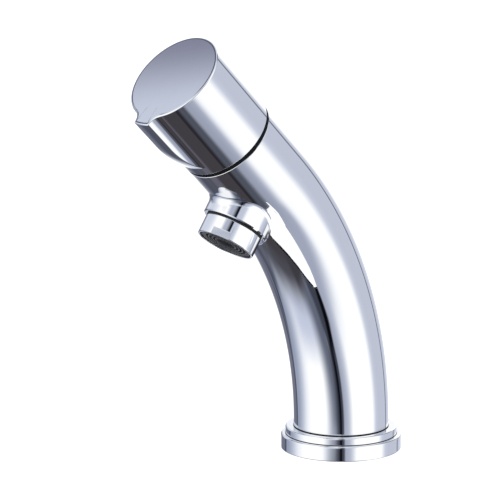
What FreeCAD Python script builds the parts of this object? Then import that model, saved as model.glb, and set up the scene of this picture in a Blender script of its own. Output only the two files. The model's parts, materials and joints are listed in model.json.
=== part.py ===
"""Single-feed basin tap with a leaning tubular body, a turning knob with a short nib and an aerator.

Millimetres, +Z up. The origin is the centre of the base underside, the spout side faces -Y and the
tap is symmetric about the plane X = 0, apart from the valve's inner pieces.

Two working frames are used besides the base frame:
  head frame    origin at the centre of the body rim, +Z out of the body along the head axis, -Y to the nib
  outlet frame  origin at the centre of the aerator mouth, +Z into the body along the outlet axis
"""

import FreeCAD, Part

import math
import os

from FreeCAD import Placement, Rotation, Vector

os.makedirs("parts", exist_ok=True)

# Fits between pieces
fit_gap = 0.05            # radial gap between pieces fastened together
running_gap = 0.08        # radial gap round the spindle
glide_gap = 0.1           # radial gap between the knob and the ring that guides it
end_gap = 0.1             # gap along the axis between faces that turn past each other

# Base flange, base ring and deck gasket
ring_overhang = 3.7       # the ring stands out this much beyond the tube
ring_height = 3.4
ring_round = 0.8
flange_overhang = 2.0     # and the flange this much beyond the ring
flange_height = 6.9
flange_round = 0.9
flange_foot_round = 0.5
deck_gasket_height = 2.0
gasket_inner_wall = 1.5   # between the foot insert and the gasket's groove
gasket_outer_wall = 2.8   # between the groove and the flange's edge

# Body tube, from the base ring up to the rim under the knob
tube_radius = 21.5
tube_wall = 3.5
foot_run = 1.7            # straight length between the base ring and the arc
foot_round = 0.4
arc_radius = 165.0
head_tilt = 45.0          # degrees between the head axis and the vertical
neck_run = 28.4           # straight length between the arc and the rim
rim_chamfer = 0.5
foot_wall = 4.0           # wall of the tube's foot round the foot insert

# Foot insert with the inlet and the fixing stud's thread
foot_collar_step = 2.0        # the insert's collar stands out this much under the tube's foot
foot_neck_length = 7.0        # length of the insert inside the tube
inlet_thread_radius = 5.0     # M10 x 1, at its major diameter
inlet_thread_depth = 8.0
inlet_offset = 7.5
inlet_bore_radius = 4.0
stud_thread_radius = 4.0      # M8, at its major diameter
stud_thread_depth = 9.0
stud_offset = 8.5
foot_seal_section = 1.2
foot_groove_width = 1.7
foot_seal_depth = 2.6         # from the insert's top to the middle of the groove

# Inlet strainer
strainer_flange_radius = 6.2
strainer_flange_height = 1.0
strainer_radius = 4.2
strainer_length = 9.0
strainer_wall = 0.8
strainer_slot_width = 1.0
strainer_slots = 8

# Rim recess, valve chamber and seat inside the head
rim_land = 1.5                # rim width left outside the glide ring
recess_depth = 2.5
counterbore_radius = 15.6
counterbore_depth = 8.5
valve_thread_radius = 10.48   # G 1/2, at its major diameter
valve_thread_length = 10.5
chamber_radius = 13.5
seat_depth = 38.5
seat_hole_radius = 5.4
web_thickness = 5.5

# Valve headwork
valve_gasket_height = 1.0
valve_flange_radius = 13.2
valve_flange_height = 2.0
valve_hex_across = 19.0
valve_hex_height = 6.3
valve_neck_radius = 7.4
valve_neck_height = 3.7
cage_radius = 8.75
cage_wall = 1.05
cage_foot_gap = 1.7           # the seat seal stands out of the cage by this much
cage_window_width = 9.0
cage_window_height = 5.5
cage_slot_width = 3.0
seat_seal_height = 4.5
seat_seal_wall = 2.4

# Ceramic discs
fixed_disc_height = 3.0
moving_disc_height = 2.5
moving_disc_margin = 0.3
disc_port_inner_radius = 1.6
disc_port_outer_radius = 5.0
disc_port_angle = 76.0
disc_notch_depth = 1.6
disc_ear_reach = 0.9

# Spindle
spindle_radius = 4.92
driver_height = 3.5
driver_width = 6.0
driver_margin = 0.5
driver_tab_length = 1.8
driver_tab_width = 3.0
driver_tab_height = 1.5
thrust_washer_height = 0.9
spindle_seal_section = 1.1
spindle_seal_gap = 0.05
spindle_groove_width = 1.5
spindle_seal_depth = 12.5     # from the headwork's top to the upper seal
spindle_seal_pitch = 3.4
spindle_flat = 4.2            # distance of the two flats from the axis
clip_height = 0.9
clip_clearance = 0.2
clip_depth = 0.8
clip_width = 2.2
clip_mouth_angle = 70.0
spline_teeth = 20
spline_radius = 4.0
spline_tooth_depth = 0.45
spline_tooth_base = 0.64      # share of the pitch that a tooth takes at its root
spline_tooth_tip = 0.32       # and at its tip
spline_lead = 0.8             # from the clip groove to the spline
spline_sink = 0.2             # from the hub's top down to the end of the spline

# Quarter-turn stop
quarter_turn = 90.0
stop_ring_height = 2.0
stop_ring_margin = 0.1
stop_ring_band = 1.5
stop_post_angle = 16.0
stop_post_height = 1.8
stop_play_angle = 1.0

# Knob, hub and grub screw
rim_gap = 1.8                 # between the body rim and the knob
knob_overhang = 0.25          # the knob is this much larger in radius than the tube
knob_length = 39.4
knob_wall = 2.45
knob_top = 3.0
knob_round = 0.75
knob_rim_round = 0.3
hub_radius = 8.0
hub_length = 12.0
hub_lift = 0.3                # from the foot of the spline to the hub
boss_wall = 3.4
boss_lift = 0.9
rib_width = 2.4
rib_length = 17.0
grub_radius = 2.5             # M5
grub_length = 12.0
grub_height = 5.9             # above the foot of the hub
grub_dimple = 0.8
grub_socket_across = 2.5
grub_socket_depth = 3.0
grub_block_width = 9.0

# Nib on the knob's front
nib_stand = 4.25              # from the cap's surface to the middle of the nib's face
nib_half_width = 4.7
nib_crown = 0.4               # how far the middle of the face stands proud of its edges
nib_flank_radius = 6.0
nib_straight = 17.0
nib_taper = 0.3
nib_run_out_radius = 45.0

# Glide ring in the gap under the knob
glide_ledge = 0.6             # the ring stays this much clear of the counterbore
glide_brim_margin = 0.1       # the ring's brim stays this much inside the rim's chamfer
glide_collar_wall = 2.0
glide_collar_height = 4.3

# Outlet boss and aerator
outlet_tilt = 34.5            # degrees from straight down towards -Y
outlet_drop = 26.3            # from the rim down the head axis to where the outlet axis meets it
outlet_stand = 12.3           # from the tube's surface to the mouth, along the outlet axis
boss_radius = 14.7
boss_blend = 3.6
collar_chamfer = 0.5
facing_margin = 0.2           # the collar is faced with a cutter this much larger in radius
shell_radius = 13.05
shell_height = 9.35
shell_round = 0.35
shell_undercut_height = 0.8
shell_undercut_depth = 0.7
aerator_thread_radius = 12.0  # M24 x 1, at its major diameter
aerator_thread_length = 5.5
aerator_washer_height = 1.8
aerator_washer_width = 2.9
outlet_bore_radius = 9.0
lip_width = 1.1
lip_depth = 1.2
housing_bore_radius = 10.3
housing_bore_wall = 0.8
flat_across = 24.6
flat_height = 3.2
flat_turn = 32.0              # degrees from the front towards +X
insert_wall = 0.9
insert_recess = 0.6
insert_flange_thickness = 1.0
insert_ring_width = 0.7
insert_ring_pitch = 1.7
insert_rings = 3
insert_ring_height = 3.2
insert_web_count = 3
insert_web_height = 2.0
screen_height = 0.85
diffuser_height = 1.0
mesh_hole_radius = 0.5
mesh_ring_pitch = 1.9
mesh_rings = 4

# Levels of the base, from the deck up
ring_radius = tube_radius + ring_overhang
flange_radius = ring_radius + flange_overhang
base_top = flange_height + ring_height
arc_start = base_top + foot_run
foot_top = base_top + foot_neck_length
foot_bore_radius = tube_radius - foot_wall
foot_collar_radius = foot_bore_radius + foot_collar_step
gasket_groove_inner = foot_collar_radius + gasket_inner_wall
gasket_groove_outer = flange_radius - gasket_outer_wall

# Levels of the head, measured along the head axis from the body rim
thread_top = -counterbore_depth
chamber_top = thread_top - valve_thread_length
seat_level = -seat_depth
valve_flange_foot = thread_top + valve_gasket_height
valve_hex_foot = valve_flange_foot + valve_flange_height
valve_neck_foot = valve_hex_foot + valve_hex_height
valve_top = valve_neck_foot + valve_neck_height
cage_foot = seat_level + cage_foot_gap
cage_bore_radius = cage_radius - cage_wall
fixed_disc_foot = seat_level + seat_seal_height
moving_disc_foot = fixed_disc_foot + fixed_disc_height
driver_foot = moving_disc_foot + moving_disc_height
driver_top = driver_foot + driver_height
cage_top = driver_top + end_gap + thrust_washer_height
spindle_bore_radius = spindle_radius + running_gap
stop_ring_foot = valve_top + end_gap
clip_foot = stop_ring_foot + stop_ring_height + clip_clearance
spline_foot = clip_foot + clip_height + spline_lead
hub_foot = spline_foot + hub_lift
hub_top = hub_foot + hub_length
grub_level = hub_foot + grub_height
knob_radius = tube_radius + knob_overhang
nib_reach = knob_radius + nib_stand
knob_rim = rim_gap
knob_crown = knob_rim + knob_length
knob_bore_radius = knob_radius - knob_wall
knob_ceiling = knob_crown - knob_top
recess_radius = tube_radius - rim_land
glide_inner_radius = counterbore_radius + glide_ledge
boss_foot = hub_foot + boss_lift
boss_bore_radius = hub_radius + fit_gap

# Levels of the outlet, measured along the outlet axis from the aerator mouth
thread_end = shell_height + aerator_thread_length
outlet_bore_foot = thread_end + aerator_washer_height
screen_foot = thread_end - screen_height
insert_flange_foot = screen_foot - insert_flange_thickness
diffuser_foot = insert_recess + insert_ring_height
insert_radius = housing_bore_radius - fit_gap

# Working frames
UP = Vector(0, 0, 1)
ORIGIN = Vector(0, 0, 0)
tilt = math.radians(head_tilt)
head_axis = Vector(0, -math.sin(tilt), math.cos(tilt))
arc_centre = Vector(0, -arc_radius, arc_start)
arc_end = arc_centre + Vector(0, math.cos(tilt), math.sin(tilt)) * arc_radius
rim_centre = arc_end + head_axis * neck_run
HEAD = Placement(rim_centre, Rotation(Vector(1, 0, 0), head_tilt))
skew = math.radians(90 - head_tilt - outlet_tilt)
outlet_reach = tube_radius / math.cos(skew) + outlet_stand
outlet_run = Vector(0, -math.cos(skew), -math.sin(skew)) * outlet_reach
mouth_centre = HEAD.multVec(Vector(0, 0, -outlet_drop) + outlet_run)
OUTLET = Placement(mouth_centre, Rotation(Vector(1, 0, 0), -outlet_tilt))


def placed(shape, frame):
    """The shape moved from a working frame into the base frame."""
    moved = shape.copy()
    moved.Placement = frame.multiply(moved.Placement)
    return moved


def outline(corners):
    """Closed wire in the XZ plane through (radius, height) corners, each with an optional rounding."""
    points = [Vector(corner[0], 0, corner[1]) for corner in corners]
    legs = []
    for index, corner in enumerate(corners):
        here = points[index]
        rounding = corner[2] if len(corner) > 2 else 0
        if not rounding:
            legs.append((here, None, here))
            continue
        back = (points[index - 1] - here).normalize()
        ahead = (points[(index + 1) % len(points)] - here).normalize()
        half = back.getAngle(ahead) / 2
        inward = (back + ahead).normalize()
        trim = rounding / math.tan(half)
        middle = here + inward * (rounding / math.sin(half) - rounding)
        legs.append((here + back * trim, middle, here + ahead * trim))
    edges = []
    for index, (start, middle, end) in enumerate(legs):
        if middle:
            edges.append(Part.Arc(start, middle, end).toShape())
        following = legs[(index + 1) % len(legs)][0]
        edges.append(Part.LineSegment(end, following).toShape())
    return Part.Wire(edges)


def turned(*corners):
    """Solid turned about the Z axis from (radius, height[, rounding]) corners."""
    return Part.Face(outline(corners)).revolve(ORIGIN, UP, 360)


def disc(radius, foot, top):
    """Solid cylinder on the Z axis between two levels."""
    return Part.makeCylinder(radius, top - foot, Vector(0, 0, foot))


def collar(inner, outer, foot, top):
    """Plain ring on the Z axis between two levels."""
    return disc(outer, foot, top).cut(disc(inner, foot, top))


def block(x_low, x_high, y_low, y_high, z_low, z_high):
    """Box between two corners."""
    return Part.makeBox(x_high - x_low, y_high - y_low, z_high - z_low, Vector(x_low, y_low, z_low))


def ring_seal(middle_radius, section_radius, level):
    """O-ring about the Z axis."""
    return Part.makeTorus(middle_radius, section_radius, Vector(0, 0, level))


def prism(points, foot, top):
    """Straight prism over a polygon in the XY plane."""
    corners = [Vector(x, y, foot) for x, y in points]
    return Part.Face(Part.makePolygon(corners + corners[:1])).extrude(UP * (top - foot))


def polar(radius, degrees):
    """Point of the XY plane at a radius and an angle from +X."""
    return radius * math.cos(math.radians(degrees)), radius * math.sin(math.radians(degrees))


def sector(inner, outer, middle, width, foot, top):
    """Part of a ring between two radii, centred on an angle."""
    start, end = middle - width / 2, middle + width / 2
    points = [Vector(*polar(radius, angle), foot) for radius, angle in
              ((inner, start), (outer, start), (outer, middle), (outer, end), (inner, end), (inner, middle))]
    edges = [Part.LineSegment(points[0], points[1]).toShape(),
             Part.Arc(*points[1:4]).toShape(),
             Part.LineSegment(points[3], points[4]).toShape(),
             Part.Arc(points[4], points[5], points[0]).toShape()]
    return Part.Face(Part.Wire(edges)).extrude(UP * (top - foot))


def hexagon(across, foot, top):
    """Six-sided prism on the Z axis, from its width across flats."""
    corner = across / 2 / math.cos(math.radians(30))
    return prism([polar(corner, 60 * side) for side in range(6)], foot, top)


def bend(radius):
    """Solid along the arc of the body's centre line."""
    section = Part.Face(Part.Wire(Part.makeCircle(radius, Vector(0, 0, arc_start), UP)))
    return section.revolve(arc_centre, Vector(1, 0, 0), head_tilt)


def blended_outlet(tube):
    """The tube with the outlet boss on its front, blended into it and faced square at the collar."""
    outlet_axis = OUTLET.Rotation.multVec(UP)
    joined = tube.fuse(placed(disc(boss_radius, -shell_height, outlet_reach), OUTLET))

    def on_both(point):
        offset = point - OUTLET.Base
        from_axis = (offset - outlet_axis * offset.dot(outlet_axis)).Length
        return abs(from_axis - boss_radius) < fit_gap and tube.distToShape(Part.Vertex(point))[0] < fit_gap

    seam = [edge for edge in joined.Edges
            if on_both(edge.valueAt(edge.FirstParameter))
            and on_both(edge.valueAt((edge.FirstParameter + edge.LastParameter) / 2))]
    edge_radius = boss_radius - collar_chamfer
    facing_radius = boss_radius + facing_margin
    facing_foot = -2 * shell_height
    facing = turned((0, facing_foot), (facing_radius, facing_foot),
                    (facing_radius, shell_height + facing_radius - edge_radius),
                    (edge_radius, shell_height), (0, shell_height))
    return joined.makeFillet(boss_blend, seam).cut(placed(facing, OUTLET))


def body_shell():
    """Hollow casting: bent tube, outlet boss, valve chamber and seat web."""
    neck = turned((0, -neck_run), (tube_radius, -neck_run), (tube_radius, -rim_chamfer),
                  (tube_radius - rim_chamfer, 0), (0, 0))
    foot = turned((0, base_top), (tube_radius, base_top, foot_round), (tube_radius, arc_start),
                  (0, arc_start))
    tube = foot.fuse([bend(tube_radius), placed(neck, HEAD)])
    web_foot = seat_level - web_thickness
    cavity_radius = tube_radius - tube_wall
    waterway = bend(cavity_radius).fuse(placed(disc(cavity_radius, -neck_run, 0), HEAD))
    ends = [placed(disc(arc_radius, web_foot, arc_radius), HEAD), disc(arc_radius, 0, foot_top)]
    waterway = waterway.cut(ends)
    foot_bore = disc(foot_bore_radius, base_top, foot_top)

    head_bores = [disc(recess_radius, -recess_depth, rim_chamfer),
                  disc(counterbore_radius, -counterbore_depth, 0),
                  disc(valve_thread_radius, chamber_top, 0),
                  disc(chamber_radius, seat_level, chamber_top),
                  disc(seat_hole_radius, web_foot - web_thickness, seat_level)]
    half_chord = math.sqrt(chamber_radius ** 2 - outlet_bore_radius ** 2)
    bore_end = outlet_reach - half_chord / math.cos(skew) + outlet_bore_radius * math.tan(skew)
    outlet_bores = [disc(aerator_thread_radius, shell_height - collar_chamfer, outlet_bore_foot),
                    disc(outlet_bore_radius, outlet_bore_foot, bore_end)]
    cuts = [placed(bore, HEAD) for bore in head_bores]
    cuts += [placed(bore, OUTLET) for bore in outlet_bores]
    return blended_outlet(tube).cut([waterway, foot_bore] + cuts)


def base_flange():
    """Lower step of the base, with the groove for the deck gasket."""
    bore = foot_collar_radius + fit_gap
    ring = turned((bore, 0), (flange_radius, 0, flange_foot_round),
                  (flange_radius, flange_height, flange_round), (bore, flange_height))
    return ring.cut(collar(gasket_groove_inner, gasket_groove_outer, 0, deck_gasket_height))


def base_ring():
    """Upper step of the base, held between the flange and the tube's foot."""
    bore = foot_collar_radius + fit_gap
    return turned((bore, flange_height), (ring_radius, flange_height), (ring_radius, base_top, ring_round),
                  (bore, base_top))


def base_gasket():
    """Rubber ring in the flange's groove, flush with the underside."""
    return collar(gasket_groove_inner + fit_gap, gasket_groove_outer - fit_gap, 0, deck_gasket_height)


def foot_insert():
    """Brass plug in the foot with the inlet's thread and the fixing stud's thread."""
    groove_level = foot_top - foot_seal_depth
    plug = disc(foot_collar_radius, 0, base_top).fuse(disc(foot_bore_radius - fit_gap, 0, foot_top))
    groove_radius = foot_bore_radius - foot_seal_section - fit_gap
    groove = collar(groove_radius, foot_bore_radius, groove_level - foot_groove_width / 2,
                    groove_level + foot_groove_width / 2)
    pocket = disc(strainer_flange_radius + fit_gap, foot_top - strainer_flange_height, foot_top)
    inlet = disc(inlet_thread_radius, 0, inlet_thread_depth)
    inlet = inlet.fuse([disc(inlet_bore_radius, 0, foot_top), pocket])
    inlet.translate(Vector(0, inlet_offset, 0))
    stud = disc(stud_thread_radius, 0, stud_thread_depth)
    stud.translate(Vector(0, -stud_offset, 0))
    return plug.cut([groove, inlet, stud])


def foot_o_ring():
    """Seal between the foot insert and the body."""
    middle = foot_bore_radius - (foot_seal_section + fit_gap) / 2
    return ring_seal(middle, (foot_seal_section - fit_gap) / 2, foot_top - foot_seal_depth)


def inlet_strainer():
    """Slotted plastic basket over the inlet, standing in the waterway."""
    foot = foot_top - strainer_flange_height
    top = foot_top + strainer_length
    basket = disc(strainer_radius, foot, top).fuse(disc(strainer_flange_radius, foot, foot_top))
    basket = basket.cut(disc(strainer_radius - strainer_wall, foot, top - strainer_wall))
    slot = block(0, strainer_radius * 2, -strainer_slot_width / 2, strainer_slot_width / 2,
                 foot_top + strainer_wall, top - 2 * strainer_wall)
    slots = [slot.rotated(ORIGIN, UP, 360 / strainer_slots * turn) for turn in range(strainer_slots)]
    basket = basket.cut(slots)
    basket.translate(Vector(0, inlet_offset, 0))
    return basket


def glide_ring():
    """Black ring in the rim recess, with a brim that fills the gap under the knob, which it guides."""
    seat = recess_radius - fit_gap
    collar_radius = knob_bore_radius - glide_gap
    brim_radius = tube_radius - rim_chamfer - glide_brim_margin
    shoulder = rim_gap - end_gap
    collar_top = shoulder + glide_collar_height
    ring = turned((glide_inner_radius, -recess_depth), (seat, -recess_depth), (seat, fit_gap),
                  (brim_radius, fit_gap), (brim_radius, shoulder),
                  (collar_radius, shoulder), (collar_radius, collar_top),
                  (collar_radius - glide_collar_wall, collar_top),
                  (collar_radius - glide_collar_wall, shoulder), (glide_inner_radius, shoulder))
    return placed(ring, HEAD)


def headwork_body():
    """Brass body of the valve: flange, hexagon, thread and the cage round the discs."""
    male = valve_thread_radius - fit_gap
    metal = disc(cage_radius, cage_foot, chamber_top)
    metal = metal.fuse([disc(male, chamber_top, valve_flange_foot),
                        disc(valve_flange_radius, valve_flange_foot, valve_hex_foot),
                        hexagon(valve_hex_across, valve_hex_foot, valve_neck_foot),
                        disc(valve_neck_radius, valve_neck_foot, valve_top),
                        sector(valve_neck_radius - stop_ring_band + 2 * fit_gap, valve_neck_radius, -90,
                               stop_post_angle, valve_top, valve_top + stop_post_height)])
    reach = 2 * cage_radius
    half_slot = cage_slot_width / 2 + fit_gap
    half_window = cage_window_width / 2
    cuts = [disc(cage_bore_radius, cage_foot, cage_top),
            disc(spindle_bore_radius, cage_top, valve_top),
            block(-half_slot, half_slot, -reach, reach, cage_foot, moving_disc_foot),
            block(-reach, reach, -half_window, half_window, driver_top - cage_window_height, driver_top)]
    return placed(metal.cut(cuts), HEAD)


def headwork_gasket():
    """Flat seal between the headwork's flange and the body."""
    return placed(collar(valve_thread_radius, valve_flange_radius, thread_top, valve_flange_foot), HEAD)


def seat_seal():
    """Rubber sleeve that presses the fixed disc's underside onto the seat."""
    outer = cage_bore_radius - fit_gap
    return placed(collar(outer - seat_seal_wall, outer, seat_level, fixed_disc_foot), HEAD)


def disc_ports(middle, foot, top):
    """The two opposite ports of a ceramic disc."""
    return [sector(disc_port_inner_radius, disc_port_outer_radius, middle + half, disc_port_angle, foot, top)
            for half in (0, 180)]


def ceramic_disc_fixed():
    """Lower disc, held from turning by two ears in the cage's slots."""
    radius = cage_bore_radius - fit_gap
    plate = disc(radius, fixed_disc_foot, moving_disc_foot)
    reach = cage_bore_radius + disc_ear_reach
    ears = block(-cage_slot_width / 2, cage_slot_width / 2, -reach, reach, fixed_disc_foot, moving_disc_foot)
    plate = plate.fuse(ears).cut(disc_ports(0, fixed_disc_foot, moving_disc_foot))
    return placed(plate, HEAD)


def ceramic_disc_moving():
    """Upper disc, turned by the driver's tabs. Its ports stand across the fixed ones when closed."""
    radius = cage_bore_radius - moving_disc_margin
    plate = disc(radius, moving_disc_foot, driver_foot)
    inner = radius - driver_margin - driver_tab_length + moving_disc_margin - fit_gap
    half = driver_tab_width / 2 + fit_gap
    notches = [block(*span, -half, half, driver_foot - disc_notch_depth, driver_foot)
               for span in ((-radius, -inner), (inner, radius))]
    return placed(plate.cut(disc_ports(90, moving_disc_foot, driver_foot) + notches), HEAD)


def thrust_washer():
    """Plastic slip washer between the driver and the cage's shoulder."""
    foot = cage_top - thrust_washer_height
    return placed(collar(spindle_bore_radius, cage_bore_radius - fit_gap, foot, cage_top), HEAD)


def spline_outline(gap):
    """Polygon of the spline, grown outwards by a gap."""
    outer, root = spline_radius + gap, spline_radius - spline_tooth_depth + gap
    pitch = 360 / spline_teeth
    half_base, half_tip = pitch * spline_tooth_base / 2, pitch * spline_tooth_tip / 2
    points = []
    for tooth in range(spline_teeth):
        angle = tooth * pitch
        points += [polar(root, angle - half_base), polar(outer, angle - half_tip),
                   polar(outer, angle + half_tip), polar(root, angle + half_base)]
    return points


def spindle():
    """Brass spindle: driver bar with two tabs, sealed shaft, flats, clip groove and spline."""
    reach = cage_bore_radius - driver_margin
    bar = block(-reach, reach, -driver_width / 2, driver_width / 2, driver_foot, driver_top)
    bar = bar.common(disc(reach, driver_foot, driver_top))
    half = driver_tab_width / 2
    tabs = [block(*span, -half, half, driver_foot - driver_tab_height, driver_foot)
            for span in ((-reach, driver_tab_length - reach), (reach - driver_tab_length, reach))]
    tab_limit = disc(reach, driver_foot - driver_tab_height, driver_foot)
    shaft = disc(spindle_radius, driver_top, spline_foot)
    flat_side = block(-reach, reach, spindle_flat, reach, valve_top, spline_foot)
    groove_radius = spindle_bore_radius - spindle_seal_section - 2 * spindle_seal_gap
    grooves = [collar(groove_radius, spindle_bore_radius, level - spindle_groove_width / 2,
                      level + spindle_groove_width / 2) for level in seal_levels()]
    clip_groove = collar(spindle_radius - clip_depth, spindle_bore_radius, clip_foot - fit_gap,
                         clip_foot + clip_height + fit_gap)
    shaft = shaft.cut(grooves + [flat_side, flat_side.rotated(ORIGIN, UP, 180), clip_groove])
    spline = prism(spline_outline(0), spline_foot, hub_top - spline_sink)
    whole = shaft.fuse([bar, spline] + [tab.common(tab_limit) for tab in tabs])
    return placed(whole, HEAD)


def seal_levels():
    """Levels of the spindle's two O-rings."""
    upper = valve_top - spindle_seal_depth
    return [upper, upper - spindle_seal_pitch]


def spindle_o_rings():
    """The two O-rings in the spindle's grooves."""
    middle = spindle_bore_radius - spindle_seal_gap - spindle_seal_section / 2
    rings = [placed(ring_seal(middle, spindle_seal_section / 2, level), HEAD) for level in seal_levels()]
    return Part.makeCompound(rings)


def stop_ring():
    """Steel ring keyed on the spindle's flats, with a notch that runs over the headwork's stop post."""
    foot, top = stop_ring_foot, stop_ring_foot + stop_ring_height
    outer = valve_neck_radius - stop_ring_margin
    reach = spindle_radius * 2
    flat = spindle_flat + fit_gap
    bore = disc(spindle_radius + fit_gap, foot, top).common(block(-reach, reach, -flat, flat, foot, top))
    notch_start = -90 - stop_post_angle / 2 - stop_play_angle - quarter_turn
    notch_end = -90 + stop_post_angle / 2 + stop_play_angle
    notch = sector(valve_neck_radius - stop_ring_band, valve_neck_radius + stop_ring_margin,
                   (notch_start + notch_end) / 2, notch_end - notch_start, foot, top)
    return placed(disc(outer, foot, top).cut([bore, notch]), HEAD)


def spindle_clip():
    """Open retaining clip in the spindle's groove, above the stop ring."""
    inner = spindle_radius - clip_depth + fit_gap
    outer = inner + clip_width
    ring = collar(inner, outer, clip_foot, clip_foot + clip_height)
    mouth = sector(inner / 2, outer * 2, 90, clip_mouth_angle, clip_foot, clip_foot + clip_height)
    return placed(ring.cut(mouth), HEAD)


def grub_tip(gap):
    """Cone of the grub screw's tip in the head frame, grown by a gap, pointing at the axis from +Y."""
    length = grub_radius + gap
    tip = Vector(0, hub_radius - grub_dimple - gap, grub_level)
    return Part.makeCone(0, length, length, tip, Vector(0, 1, 0))


def knob_hub():
    """Brass hub: splined on the spindle, round in the knob's boss, with a dimple for the grub screw."""
    hub = disc(hub_radius, hub_foot, hub_top)
    return placed(hub.cut([prism(spline_outline(fit_gap), hub_foot, hub_top), grub_tip(fit_gap)]), HEAD)


def knob_grub_screw():
    """Cone-point set screw that holds the knob on the hub from behind."""
    start = hub_radius - grub_dimple
    radius = grub_radius - fit_gap
    shank = Part.makeCylinder(radius, grub_length, Vector(0, start, grub_level), Vector(0, 1, 0))
    straight = Vector(0, start + grub_radius, grub_level)
    point = grub_tip(0).fuse(Part.makeCylinder(grub_radius, grub_length, straight, Vector(0, 1, 0)))
    socket = hexagon(grub_socket_across, 0, grub_socket_depth)
    socket.Placement = Placement(Vector(0, start + grub_length - grub_socket_depth, grub_level),
                                 Rotation(Vector(1, 0, 0), -90))
    return placed(shank.common(point).cut(socket), HEAD)


def crown_outline():
    """Outline of the knob seen along the head axis: the round cap and the waisted nib."""
    edge = Vector(nib_half_width, -(nib_reach - nib_crown), 0)
    flank_centre_radius = knob_radius + nib_flank_radius
    spread = math.acos((flank_centre_radius ** 2 + edge.Length ** 2 - nib_flank_radius ** 2)
                       / (2 * flank_centre_radius * edge.Length))
    bearing = math.atan2(edge.x, -edge.y) + spread
    towards = Vector(math.sin(bearing), -math.cos(bearing), 0)
    centre = towards * flank_centre_radius
    root = towards * knob_radius
    waist = centre + ((edge + root) / 2 - centre).normalize() * nib_flank_radius

    def mirrored(point):
        return Vector(-point.x, point.y, point.z)

    return Part.Wire([Part.Arc(mirrored(edge), Vector(0, -nib_reach, 0), edge).toShape(),
                      Part.Arc(edge, waist, root).toShape(),
                      Part.Arc(root, Vector(0, knob_radius, 0), mirrored(root)).toShape(),
                      Part.Arc(mirrored(root), mirrored(waist), mirrored(edge)).toShape()])


def nib_profile():
    """The nib's side profile as a wide block: nearly parallel to the axis, then running out into the cap."""
    taper = math.atan2(nib_taper, nib_straight)
    bend_start = Vector(0, nib_taper - nib_reach, knob_crown - nib_straight)
    bend_centre = bend_start + Vector(0, math.cos(taper), math.sin(taper)) * nib_run_out_radius
    sink = knob_radius - knob_wall / 2
    turn_end = math.acos((bend_centre.y + sink) / nib_run_out_radius)

    def on_bend(angle):
        return bend_centre - Vector(0, math.cos(angle), math.sin(angle)) * nib_run_out_radius

    bend_end = on_bend(turn_end)
    corners = [Vector(0, 0, bend_end.z), Vector(0, 0, knob_crown), Vector(0, -nib_reach, knob_crown),
               bend_start]
    edges = [Part.LineSegment(*pair).toShape() for pair in zip(corners, corners[1:])]
    edges.append(Part.Arc(bend_start, on_bend((turn_end + taper) / 2), bend_end).toShape())
    edges.append(Part.LineSegment(bend_end, corners[0]).toShape())
    profile = Part.Face(Part.Wire(edges)).extrude(Vector(2 * nib_reach, 0, 0))
    profile.translate(Vector(-nib_reach, 0, 0))
    return profile


def knob_shell():
    """Chromed cap with its nib, central boss, ribs and the grub screw's block."""
    prism_all = Part.Face(crown_outline()).extrude(UP * knob_length)
    prism_all.translate(Vector(0, 0, knob_rim))
    crown_edges = [edge for edge in prism_all.Edges if edge.BoundBox.ZMin > knob_crown - knob_round]
    prism_all = prism_all.makeFillet(knob_round, crown_edges)
    cap = turned((0, knob_rim), (knob_radius, knob_rim, knob_rim_round), (knob_radius, knob_crown),
                 (0, knob_crown))
    solid = prism_all.common(cap.fuse(nib_profile()))
    inside = disc(knob_bore_radius, knob_rim, knob_ceiling)
    boss = disc(boss_bore_radius + boss_wall, boss_foot, knob_ceiling)
    rib_foot = knob_ceiling - rib_length
    bar = block(-knob_bore_radius, knob_bore_radius, -rib_width / 2, rib_width / 2, rib_foot, knob_ceiling)
    grub_block = block(-grub_block_width / 2, grub_block_width / 2, 0, knob_bore_radius, boss_foot, rib_foot)
    inside = inside.cut(boss.fuse([bar, bar.rotated(ORIGIN, UP, 90), grub_block]))
    grub_hole = Part.makeCylinder(grub_radius, knob_radius * 2, Vector(0, 0, grub_level), Vector(0, 1, 0))
    hub_bore = disc(boss_bore_radius, boss_foot, hub_top)
    return placed(solid.cut([inside, hub_bore, grub_hole]), HEAD)


def aerator_housing():
    """Chromed sleeve screwed into the boss, with an undercut above and two wrench flats below."""
    male = aerator_thread_radius - fit_gap
    undercut = shell_radius - shell_undercut_depth
    undercut_foot = shell_height - shell_undercut_height
    bore_top_radius = male - housing_bore_wall
    sleeve = turned((shell_radius - lip_width, 0, shell_round / 2), (shell_radius, 0, shell_round),
                    (shell_radius, undercut_foot, shell_round), (undercut, undercut_foot),
                    (undercut, shell_height), (male, shell_height), (male, thread_end),
                    (bore_top_radius, thread_end), (bore_top_radius, insert_flange_foot),
                    (housing_bore_radius, insert_flange_foot), (housing_bore_radius, lip_depth))
    reach = shell_radius * 2
    flat = block(-reach, reach, -reach, -flat_across / 2, 0, flat_height)
    flats = [flat.rotated(ORIGIN, UP, flat_turn + half) for half in (0, 180)]
    return placed(sleeve.cut(flats), OUTLET)


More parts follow.
